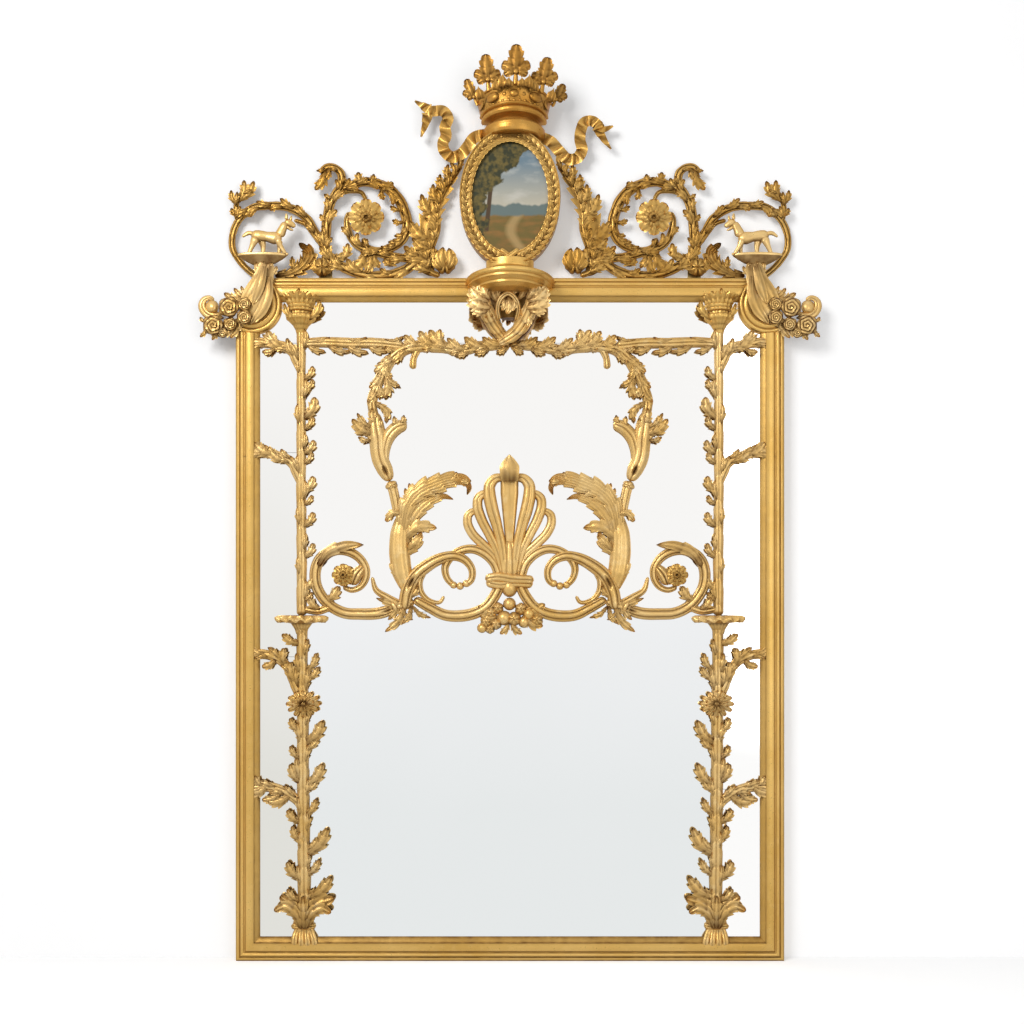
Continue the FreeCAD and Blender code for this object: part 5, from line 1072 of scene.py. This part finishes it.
def makeCrown():
    c = crown
    rings = [(c["radius"] * r, c["base"] + c["height"] * z) for r, z in c["section"]]
    band, shade = turned(c["x"], c["y"], rings)
    share = np.clip((band[..., 2] - c["base"]) / c["height"], 0, 1)
    band[..., 2] -= c["dip"] * share * ((band[..., 0] - c["x"]) / c["radius"]) ** 2
    patches = [(band, shade)]
    wide, high = zip(*c["section"][slice(*c["wall"])])

    def stud(angle, share, radius, stretch, rise):
        # A jewel or bead laid on the circlet at an angle round it
        turn = np.radians(angle)
        reach = c["radius"] * np.interp(share, high, wide)
        y = c["y"] - reach * np.cos(turn)
        z = c["base"] + c["height"] * share - c["dip"] * share * (reach * np.sin(turn) / c["radius"]) ** 2
        place = pixelOf(c["x"] + reach * np.sin(turn), z, y)
        slim = max(np.cos(turn), 0.45)
        patch, shade = dome(place, radius * slim, y + 0.001, rise / slim, 0.0, 0, 0.0, stretch / slim)
        bulge = np.sqrt(np.maximum(reach ** 2 - (patch[..., 0] - c["x"]) ** 2, 0.0))
        patch[..., 1] += c["y"] - bulge - y
        return patch, shade

    patches += [stud(angle, share, radius, stretch, 0.55) for angle, share, radius, stretch in c["jewels"]]
    count, share, radius = c["beads"]
    patches += [stud(angle, share, radius, 1.0, 0.8) for angle in np.linspace(-76, 76, count)]
    addPiece("circlet", patches, crownShadeGilding, "crown_circlet")
    shapes = []
    for foot, top, depth, wide in c["leaves"]:
        foot, top = np.array(foot, float), np.array(top, float)
        up = top - foot
        back = c["y"] - depth + 0.016
        fork = foot + up * 0.34
        shapes += [branch([foot, fork], (wide * 0.2, wide * 0.13), back, 1.0, 1, 0.0),
                   leaf([fork - up * 0.06, foot + up * 0.7, top], wide * 0.6, back, 4, 1.5, 2.2, 0.6,
                        **c["look"])]
        for sign in (1, -1):
            for high, out, share in ((0.5, 0.5, 0.5), (0.24, 0.4, 0.36)):
                tip = foot + up * high + np.array([wide * out * sign, 0.0])
                middle = (fork + tip) * 0.5 + up * 0.03
                shapes.append(leaf([fork, middle, tip], wide * share, back, 3, 1.0, 2.2, 0.6, **c["look"]))
        shapes.append(dome(fork, wide * 0.1, back, 0.9, 2.5))
    for foot, top, depth in c["points"]:
        middle = (np.array(foot) + top) * 0.5
        shapes.append(leaf([foot, middle, top], 9.0, c["y"] - depth + 0.006, lobes=1, lift=0.5, arch=1.5,
                           curl=0.5, thick=1.5, base=1.0, notch=0.0, slant=0.0, pleat=0.0, blunt=0.8))
    addPiece("trefoils", shapes, crownShadeGilding, "crown_leaves")


def ribbon(points, back, taper):
    # A thin band on a line; its height is a wave along the run, unevenly spaced and slanted across the band
    r = ribbons
    line, tangent, side, run = smooth(points, 0.7)
    u = np.r_[np.linspace(-1, 1, 9), np.linspace(1, -1, 9)]
    below = np.r_[np.zeros(9), np.ones(9)]
    width = 0.5 * r["width"] * np.linspace(1.0, taper, len(line))[:, None]
    shifted = run[:, None] + 2.6 * np.sin(run / 8.0)[:, None] + 1.6 * u
    wave = np.sin(2 * np.pi * shifted / r["pleat"])
    height = 3.2 + r["wave"] * wave + 1.2 * u * np.cos(run / 11.0)[:, None]
    height = np.maximum(height + r["thick"] * (1 - below), 0.1)
    # Painted shade in the troughs of the wave and on the underside
    paintedShade = np.clip(0.05 - 0.6 * wave, 0, 1) + 0.5 * below
    patch = lifted(line, width * u, 0.25 * width * u * wave, height, side, tangent, back)
    return patch, np.clip(np.broadcast_to(paintedShade, height.shape), 0, 1)


makeCrown()
for hand in ("left", "right"):
    bands = [ribbon(ribbons[f"ribbon_{hand}"], ribbons["back"], 0.9)]
    bands += [ribbon(path, ribbons["back"], 0.15) for path in ribbons[f"ribbon_{hand}_tips"]]
    addPiece(f"pleated_{hand}", bands, crested, f"ribbon_{hand}")
print("crown and ribbons done")


# Cresting

cresting = {
    "spine": [(440, 276), (430, 271), (427, 258), (432, 244), (436.5, 230), (437.5, 214), (440, 202),
              (447, 187), (462, 166)],
    "spineWidths": (6, 7, 8, 8.5, 8, 7.5, 7, 6, 3),
    "spineLeaves": [(432, 272, 413, 259, 0.55), (432, 262, 404, 246, 0.5), (436, 242, 409, 221, 0.5),
                    (434, 250, 412, 238, 0.5), (438, 220, 421, 194, 0.45), (440, 206, 433, 184, 0.5),
                    (445, 194, 440, 174, 0.5), (451, 184, 448, 164, 0.5), (428, 262, 434, 246, 0.5),
                    (424, 270, 430, 256, 0.5)],
    "gores": [(445, 270, 437, 250, 0.5), (446, 270, 443, 247, 0.5), (447, 270, 449, 248, 0.5),
              (448, 270, 454, 254, 0.5), (443, 270, 434, 258, 0.5)],
    # each stem's path and widths, then its sheath leaves: count, first and last share, length, sides
    "stems": [([(430, 262), (418, 262), (405, 270), (395, 274), (380, 276), (360, 274), (345, 268),
                (332, 260),
                (325, 248), (326, 235), (327, 220), (330, 205), (335, 195), (341, 185), (340, 172),
                (335, 168),
                (328, 167), (320, 173)], (11, 10.5, 10, 10, 9, 7),
               [(6, 0.03, 0.40, 20, (1, -1)), (8, 0.42, 0.80, 18, (1, -1)), (3, 0.84, 0.97, 11, (1, -1))]),
              ([(341, 189), (355, 184), (365, 182), (378, 184), (390, 190), (398, 198), (404, 210),
                (407, 222),
                (406, 232), (400, 242), (390, 248), (378, 251), (368, 248), (363, 238)],
                (8, 10.5, 11, 9.5, 6),
               [(5, 0.03, 0.32, 17, (1, -1)), (6, 0.36, 0.74, 13, (1,)), (3, 0.78, 0.93, 12, (1, -1))]),
              ([(424, 256), (405, 258), (390, 256), (375, 252), (362, 248), (353, 241), (348, 230),
                (347, 220),
                (350, 212)], (9, 9, 8, 6), [(6, 0.04, 0.75, 16, (1, -1))]),
              ([(338, 194), (350, 191), (362, 193), (366, 200)], (5.5, 4), []),
              ([(326, 250), (320, 240), (314, 230), (308, 220), (300, 213), (290, 208), (280, 206),
                (265, 206),
                (255, 207), (245, 213), (236, 225), (232, 240), (233, 250), (239, 260), (247, 269),
                (256, 276), (264, 281)],
               (8, 8.5, 8.5, 7.5, 6.5, 6.5), [(3, 0.02, 0.2, 17, (1, -1)), (5, 0.28, 0.52, 17, (1, -1))]),
              ([(320, 243), (312, 232), (305, 224), (294, 220)], (6, 4), []),
              ([(238, 222), (236, 208), (239, 197), (247, 189)], (5.5, 5), [(3, 0.1, 0.8, 13, (1, -1))])],
    "leaves": [(325, 169, 315, 190, 0.6), (330, 167, 324, 180, 0.6), (366, 250, 352, 270, 0.7),
               (370, 252, 366, 273, 0.6), (374, 252, 380, 268, 0.6), (382, 262, 400, 256, 0.7),
               (394, 266, 384, 258, 0.7), (336, 263, 326, 242, 0.6), (340, 262, 348, 243, 0.6),
               (330, 256, 350, 252, 0.5), (380, 190, 393, 182, 0.8), (382, 188, 384, 200, 0.7),
               (364, 184, 358, 172, 0.8),
               (368, 184, 374, 174, 0.7), (402, 210, 390, 206, 0.6), (405, 222, 392, 220, 0.6),
               (406, 232, 394, 236, 0.6),
               (400, 240, 388, 242, 0.6), (240, 216, 253, 208, 0.7), (238, 216, 231, 208, 0.7),
               (239, 201, 254, 181, 0.5), (238, 203, 244, 180, 0.5), (237, 205, 231, 190, 0.5),
               (322, 276, 314, 257, 0.6), (322, 276, 323, 255, 0.6), (323, 276, 331, 258, 0.6),
               (298, 272, 292, 256, 0.45), (284, 275, 296, 268, 0.6), (242, 214, 231, 212, 0.6),
               (342, 188, 350, 178, 0.7), (334, 198, 324, 194, 0.6), (328, 222, 320, 214, 0.6)],
    "cornerLeaf": [(275, 276), (291, 273), (304, 264), (309, 253), (299, 243)],
    "plumeBody": [(432, 276), (423, 258), (427, 234), (433, 210), (444, 188), (461, 165)],
    # column, line and radius of the flower heads
    "rosette": (366, 217, 18.5), "middleRosette": (343, 575, 11.5),
}


def makeCresting():
    c = cresting
    spine = [branch(c["spine"], c["spineWidths"], crestY, 1.4, 3, 0.28),
             leaf(c["plumeBody"], 25.0, crestY, 9, 2.0, 4.0, 2.0, 4.0, 0.6, 0.42, 1.1, 1.0, 1.3)]
    spine += leaves(c["spineLeaves"], crestY, lobes=5, lift=3.0, arch=4.0, curl=4.0)
    spine += foliage(c["spine"], 12, 15.0, crestY, 0.62, (-1,), 12, (0.1, 0.95), 0.5, lobes=3, lift=4.5,
                     curl=3.0)
    spine += [dome((445, 264), 11.0, crestY, 0.8, 0.0, 8, 0.2)]
    spine += leaves(c["gores"], crestY, lobes=1, lift=6.0, arch=3.5, curl=3.0)
    addPair("crest_plume", spine, crested, "crest_acanthus")
    scroll = []
    for k, (path, widths, sheaths) in enumerate(c["stems"]):
        scroll.append(branch(path, widths, crestY, 1.3, 3, 0.34, 0.08, 18.0))
        for count, first, last, length, sides in sheaths:
            scroll += foliage(path, count, length, crestY, 0.36, sides, 11 + k, (first, last), 0.5, lobes=3,
                              lift=5.5,
                              arch=2.5, curl=3.0, thick=3.5)
    scroll += leaves(c["leaves"], crestY, lobes=4, lift=3.5, arch=3.0, curl=3.0)
    scroll += [dome((322, 267), 10.0, crestY, 0.9, 1.0, 8, 0.2),
               leaf(c["cornerLeaf"], 20.0, crestY, 7, 3.0, 4.5, 3.0, 4.0, 0.4, 0.42, 0.9, 1.1, 1.4, 4)]
    addPair("crest_tracery", scroll, crested, "crest_scroll")
    heads = []
    for name, back in (("rosette", crestY), ("middleRosette", glassY)):
        x, y, radius = c[name]
        for column in (x, 2 * shot["axis"] - x):
            heads += flower(np.array([column, y], float), radius, 8, back, 4.0, 3, 0.2, 1.25)
    addPiece("flower_heads", heads, framed, "rosettes")


makeCresting()
print("cresting done")


# Corner consoles and hounds

console = {
    # path, width and height of each lobe of the bract
    "bract": [([(267, 264), (262, 283), (256, 300), (241, 327)], 25.0, 4.0),
              ([(266, 268), (255, 284), (247, 298), (240, 312)], 13.0, 4.0),
              ([(268, 276), (268, 294), (263, 308), (251, 324)], 11.0, 7.0),
              ([(264, 266), (260, 284), (253, 304)], 10.0, 9.0)],
    "curl": [(222, 316), (212, 316), (205, 312), (202, 305), (204, 300), (210, 298), (214, 301)],
    "garland": [(248, 318), (236, 322), (222, 326), (208, 326)],
    # centre, radius and height of each rose
    "roses": [((229, 307), 10.5, 6.0), ((244, 304), 7.0, 8.0), ((244, 317), 7.5, 9.0),
              ((213, 325), 10.5, 4.0),
              ((230, 324), 7.0, 5.0), ((222, 332), 6.0, 3.0)],
    "bud": ((212, 307), 7.0),
    "leaves": [(246, 300, 224, 293, 0.5), (247, 298, 234, 288, 0.5), (249, 296, 241, 286, 0.5),
               (238, 322, 230, 338, 0.5),
               (232, 326, 222, 336, 0.6), (216, 328, 212, 340, 0.6), (206, 328, 200, 337, 0.6),
               (206, 322, 200, 317, 0.7),
               (256, 288, 246, 300, 0.5), (224, 318, 214, 314, 0.6), (255, 280, 244, 298, 0.5),
               (240, 320, 236, 332, 0.6)],
    "dish": [(23, 253.6), (24.8, 254.2), (25.0, 255.4), (24.2, 256.4), (20, 259.5), (14, 263), (8.5, 265.5),
             (6.2, 268),
             (6.5, 272), (9, 278)],
    "neckLeaves": [(262, 276, 256, 262, 0.5), (265, 276, 263, 261, 0.5), (268, 276, 271, 262, 0.5),
                   (269, 276, 277, 266, 0.5)],
    "limbs": [(((251, 235), (258, 235.5), (266, 236.5), (274, 238), (282, 239)), (4.8, 5.5, 4.9, 6.5, 5.0),
               0.0),
              (((279, 237), (282.5, 229), (286, 222)), (5.8, 4.4, 3.6), 0.0),
              (((284.5, 221), (290, 223.5), (295.5, 227)), (3.8, 3.4, 2.1), 0.0),
              (((286.5, 226), (290, 229), (293.5, 230.3)), (2.3, 1.6, 1.0), 0.0),
              (((256, 237), (253, 244), (248.5, 254)), (5.2, 2.8, 1.8), 1.0),
              (((261, 238), (263, 246), (263, 254.5)), (5.0, 2.8, 2.0), -1.0),
              (((279, 240), (279.5, 247), (279, 254.5)), (4.0, 2.3, 1.8), -1.0),
              (((277, 238), (281, 247), (285.5, 254)), (4.0, 2.4, 1.8), 1.0),
              (((254, 234), (249, 233), (242, 237)), (2.3, 2.2, 1.1), 0.0),
              (((286, 220), (286.5, 216.5), (286, 213)), (1.9, 1.7, 0.5), 0.6),
              (((290, 221), (291, 218), (291.5, 215.5)), (1.7, 1.5, 0.5), -0.6),
              (((248.5, 254), (251.5, 254.2)), (1.7, 1.2), 1.0),
              (((263, 254.5), (266, 254.6)), (1.7, 1.2), -1.0),
              (((279, 254.5), (282, 254.6)), (1.7, 1.2), -1.0),
              (((285.5, 254), (288.5, 254.2)), (1.7, 1.2), 1.0)],
    "stance": 2.6, "houndY": -0.044, "dishAxis": 262.5, "dishRim": 0.0075, "back": -0.0396,
}


def makeCorners():
    c = console
    back = min(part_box("corner_console_left")[1].y, c["back"])
    patches = [leaf(path, wide, back, 1, lift, 5.0, 0.0, 6.0, 0.6, 0.0, 0.0, 0.3, 1.7)
               for path, wide, lift in c["bract"]]
    patches += [branch(c["curl"], (9, 10, 9, 8, 6, 4), back, 1.2, 2, 0.2, lift=1.0),
                dome(*c["bud"], back, 1.1, 2.0),
                branch(c["garland"], (7, 7, 6), back, 1.2, 3, 0.25)]
    patches += [rose(centre, radius, back, lift) for centre, radius, lift in c["roses"]]
    patches += leaves(c["leaves"], back, lobes=3, lift=3.0, curl=2.0)
    patches += leaves(c["neckLeaves"], c["houndY"], lobes=2, lift=1.5, curl=3.0)
    dish, shade = turnedAt(c["dishAxis"], c["houndY"], c["dish"], deep=0.26, whole=True)
    # Painted shade: the dish is dark all over below its rim
    patches.append((dish, np.where(dish[..., 2] < dish[..., 2].max() - c["dishRim"], 0.8, shade)))
    addPair("flower_console", patches, carved, "corner_console")
    hound = [limb(path, radii, c["houndY"], side * c["stance"]) for path, radii, side in c["limbs"]]
    addPair("hound", hound, carved, "dog")


makeCorners()
print("corners done")


# Painted oval

landscape = {"skyTop": (0.15, 0.215, 0.26), "skyLow": (0.56, 0.50, 0.37), "cloud": (0.62, 0.60, 0.54),
             "hill": (0.13, 0.17, 0.16), "trees": (0.03, 0.032, 0.012), "bushes": (0.15, 0.11, 0.028),
             "ground": (0.24, 0.13, 0.035), "path": (0.46, 0.31, 0.13), "trunk": (0.07, 0.04, 0.018),
             "horizon": 2.235}


def makeLandscape():
    # Sky shading down to low hills, a tree that leans in from the left, rough ground with a winding path
    material, tree, shader = newMaterial("paintedLandscape")
    x, z = axes(tree)
    paint, h = landscape, landscape["horizon"]
    rough = noise(tree, 34.0, 5.0)
    sky = mixed(tree, ranged(tree, z, h, h + 0.16), paint["skyLow"], paint["skyTop"])
    bank = ranged(tree, noise(tree, 13.0, 5.0, (1.0, 1.0, 2.2)), 0.48, 0.72, 0.0, 0.55)
    sky = mixed(tree, bank, sky, paint["cloud"])
    ridge = combine(tree, "ADD", z, combine(tree, "MULTIPLY", noise(tree, 11.0, 3.0, (1.0, 1.0, 0.0)), -0.09))
    scene = mixed(tree, ranged(tree, ridge, h - 0.019, h - 0.013), paint["hill"], sky)
    ground = mixed(tree, ranged(tree, noise(tree, 24.0, 4.0, (1.0, 1.0, 3.0)), 0.35, 0.65), paint["ground"],
                   paint["bushes"])
    bend = combine(tree, "MULTIPLY", combine(tree, "SINE", combine(tree, "MULTIPLY", z, 38.0), 0.0), 0.02)
    lane = combine(tree, "ABSOLUTE", combine(tree, "ADD", combine(tree, "ADD", x, bend), -0.022), 0.0)
    ground = mixed(tree, ranged(tree, lane, 0.006, 0.022, 0.7, 0.0), ground, paint["path"])
    level = combine(tree, "ADD", z, combine(tree, "MULTIPLY", rough, -0.02))
    scene = mixed(tree, ranged(tree, level, h - 0.014, h - 0.006), ground, scene)
    lean = combine(tree, "ADD", combine(tree, "ADD", x, 0.066), combine(tree, "MULTIPLY", z, -0.10))
    stem = combine(tree, "ABSOLUTE", combine(tree, "ADD", lean, 0.10 * h), 0.0)
    trunk = combine(tree, "MULTIPLY", ranged(tree, stem, 0.005, 0.008, 1.0, 0.0),
                    ranged(tree, z, h - 0.05, h - 0.045))
    scene = mixed(tree, trunk, scene, paint["trunk"])
    over = combine(tree, "ADD", ranged(tree, z, h + 0.06, h + 0.20, -0.12, 0.02),
                   combine(tree, "MULTIPLY", rough, 0.10))
    crownEdge = ranged(tree, combine(tree, "SUBTRACT", over, x), 0.0, 0.010)
    leafTone = mixed(tree, ranged(tree, noise(tree, 70.0, 4.0), 0.4, 0.65), paint["trees"], paint["bushes"])
    scene = mixed(tree, crownEdge, scene, leafTone)
    tree.links.new(scene, shader.inputs["Base Color"])
    shader.inputs["Roughness"].default_value = 0.45
    shader.inputs["Specular IOR Level"].default_value = 0.25
    return material


painted = makeLandscape()
for slot in nodes["medallion_panel"].material_slots:
    slot.material = painted
print("painted panel done")


# Stage

studio = {"key": ((-2.6, -3.6, 4.0), 2.0, 172.0), "fill": ((2.8, -4.2, 1.6), 3.0, 40.0),
          "aim": (0.0, 0.0, 1.35), "world": 0.42, "wallGap": 0.001, "paper": 0.42, "paperSeen": 0.80,
          "sheet": 9.0,
          # the paper's own glow where the lamps fall off, on the right and on the left
          "footGlow": (0.46, 0.37), "headGlow": (0.32, 0.0), "glowWidth": 1.35, "glowHeight": 2.75}


def makeStage():
    world = bpy.data.worlds.new("studio")
    bpy.context.scene.world = world
    world.use_nodes = True
    tree = world.node_tree
    path = tree.nodes.new("ShaderNodeLightPath")
    seen = combine(tree, "MAXIMUM", path.outputs["Is Camera Ray"], path.outputs["Is Glossy Ray"])
    seen = combine(tree, "MAXIMUM", seen, path.outputs["Is Transmission Ray"])
    sky = tree.nodes["Background"]
    sky.inputs["Color"].default_value = (1.0, 1.0, 1.0, 1.0)
    tree.links.new(ranged(tree, seen, 0.0, 1.0, studio["world"], 1.0), sky.inputs["Strength"])
    for name in ("key", "fill"):
        place, wide, power = studio[name]
        lamp = bpy.data.lights.new(name, "AREA")
        lamp.size, lamp.energy = wide, power
        holder = addObject(name, lamp)
        holder.location = place
        aim = Vector(studio["aim"]) - Vector(place)
        holder.rotation_euler = aim.to_track_quat("-Z", "Y").to_euler()
    paper = bpy.data.materials.new("studioPaper")
    paper.use_nodes = True
    tree = paper.node_tree
    tree.nodes.remove(tree.nodes["Principled BSDF"])
    matt = tree.nodes.new("ShaderNodeBsdfDiffuse")
    glow = tree.nodes.new("ShaderNodeEmission")
    path = tree.nodes.new("ShaderNodeLightPath")
    seen = path.outputs["Is Camera Ray"]
    tree.links.new(ranged(tree, seen, 0.0, 1.0, studio["paper"], studio["paperSeen"]), matt.inputs["Color"])
    x, z = axes(tree)
    wide = studio["glowWidth"]
    foot, head = (ranged(tree, x, wide, -wide, *studio[name]) for name in ("footGlow", "headGlow"))
    climb = ranged(tree, z, 0.0, studio["glowHeight"])
    rise = combine(tree, "MULTIPLY", combine(tree, "SUBTRACT", head, foot), climb)
    level = combine(tree, "ADD", foot, rise)
    tree.links.new(combine(tree, "MULTIPLY", level, seen), glow.inputs["Strength"])
    lit = tree.nodes.new("ShaderNodeAddShader")
    tree.links.new(matt.outputs[0], lit.inputs[0])
    tree.links.new(glow.outputs[0], lit.inputs[1])
    plain = tree.nodes.new("ShaderNodeEmission")
    both = tree.nodes.new("ShaderNodeMixShader")
    bounced = combine(tree, "MAXIMUM", path.outputs["Is Glossy Ray"], path.outputs["Is Transmission Ray"])
    tree.links.new(bounced, both.inputs[0])
    tree.links.new(lit.outputs[0], both.inputs[1])
    tree.links.new(plain.outputs[0], both.inputs[2])
    clear = tree.nodes.new("ShaderNodeBsdfTransparent")
    side = tree.nodes.new("ShaderNodeNewGeometry")
    pick = tree.nodes.new("ShaderNodeMixShader")
    tree.links.new(side.outputs["Backfacing"], pick.inputs[0])
    tree.links.new(both.outputs[0], pick.inputs[1])
    tree.links.new(clear.outputs[0], pick.inputs[2])
    tree.links.new(pick.outputs[0], tree.nodes["Material Output"].inputs["Surface"])
    wide, y = studio["sheet"], studio["wallGap"]
    for name, corners in (("wall", [(-wide, y, 0), (wide, y, 0), (wide, y, wide), (-wide, y, wide)]),
                          ("floor", [(-wide, -wide, 0), (wide, -wide, 0), (wide, wide, 0),
                                     (-wide, wide, 0)])):
        mesh = bpy.data.meshes.new(name)
        mesh.from_pydata(corners, [], [(0, 1, 2, 3)])
        mesh.materials.append(paper)
        addObject(name, mesh)


def makeCamera():
    lens = bpy.data.cameras.new("camera")
    lens.sensor_width = 36.0
    distance = shot["plane"] - shot["eye"][1]
    lens.lens = lens.sensor_width * distance / (shot["pixel"] * shot["side"])
    lens.shift_x = (shot["side"] * 0.5 - shot["axis"]) / shot["side"]
    lens.shift_y = (shot["level"] - shot["side"] * 0.5) / shot["side"]
    camera = addObject("camera", lens)
    camera.location = shot["eye"]
    camera.rotation_euler = (np.pi * 0.5, 0.0, 0.0)
    bpy.context.scene.camera = camera


makeStage()
makeCamera()
bpy.context.scene.view_settings.view_transform = "Standard"
print("stage and camera done")
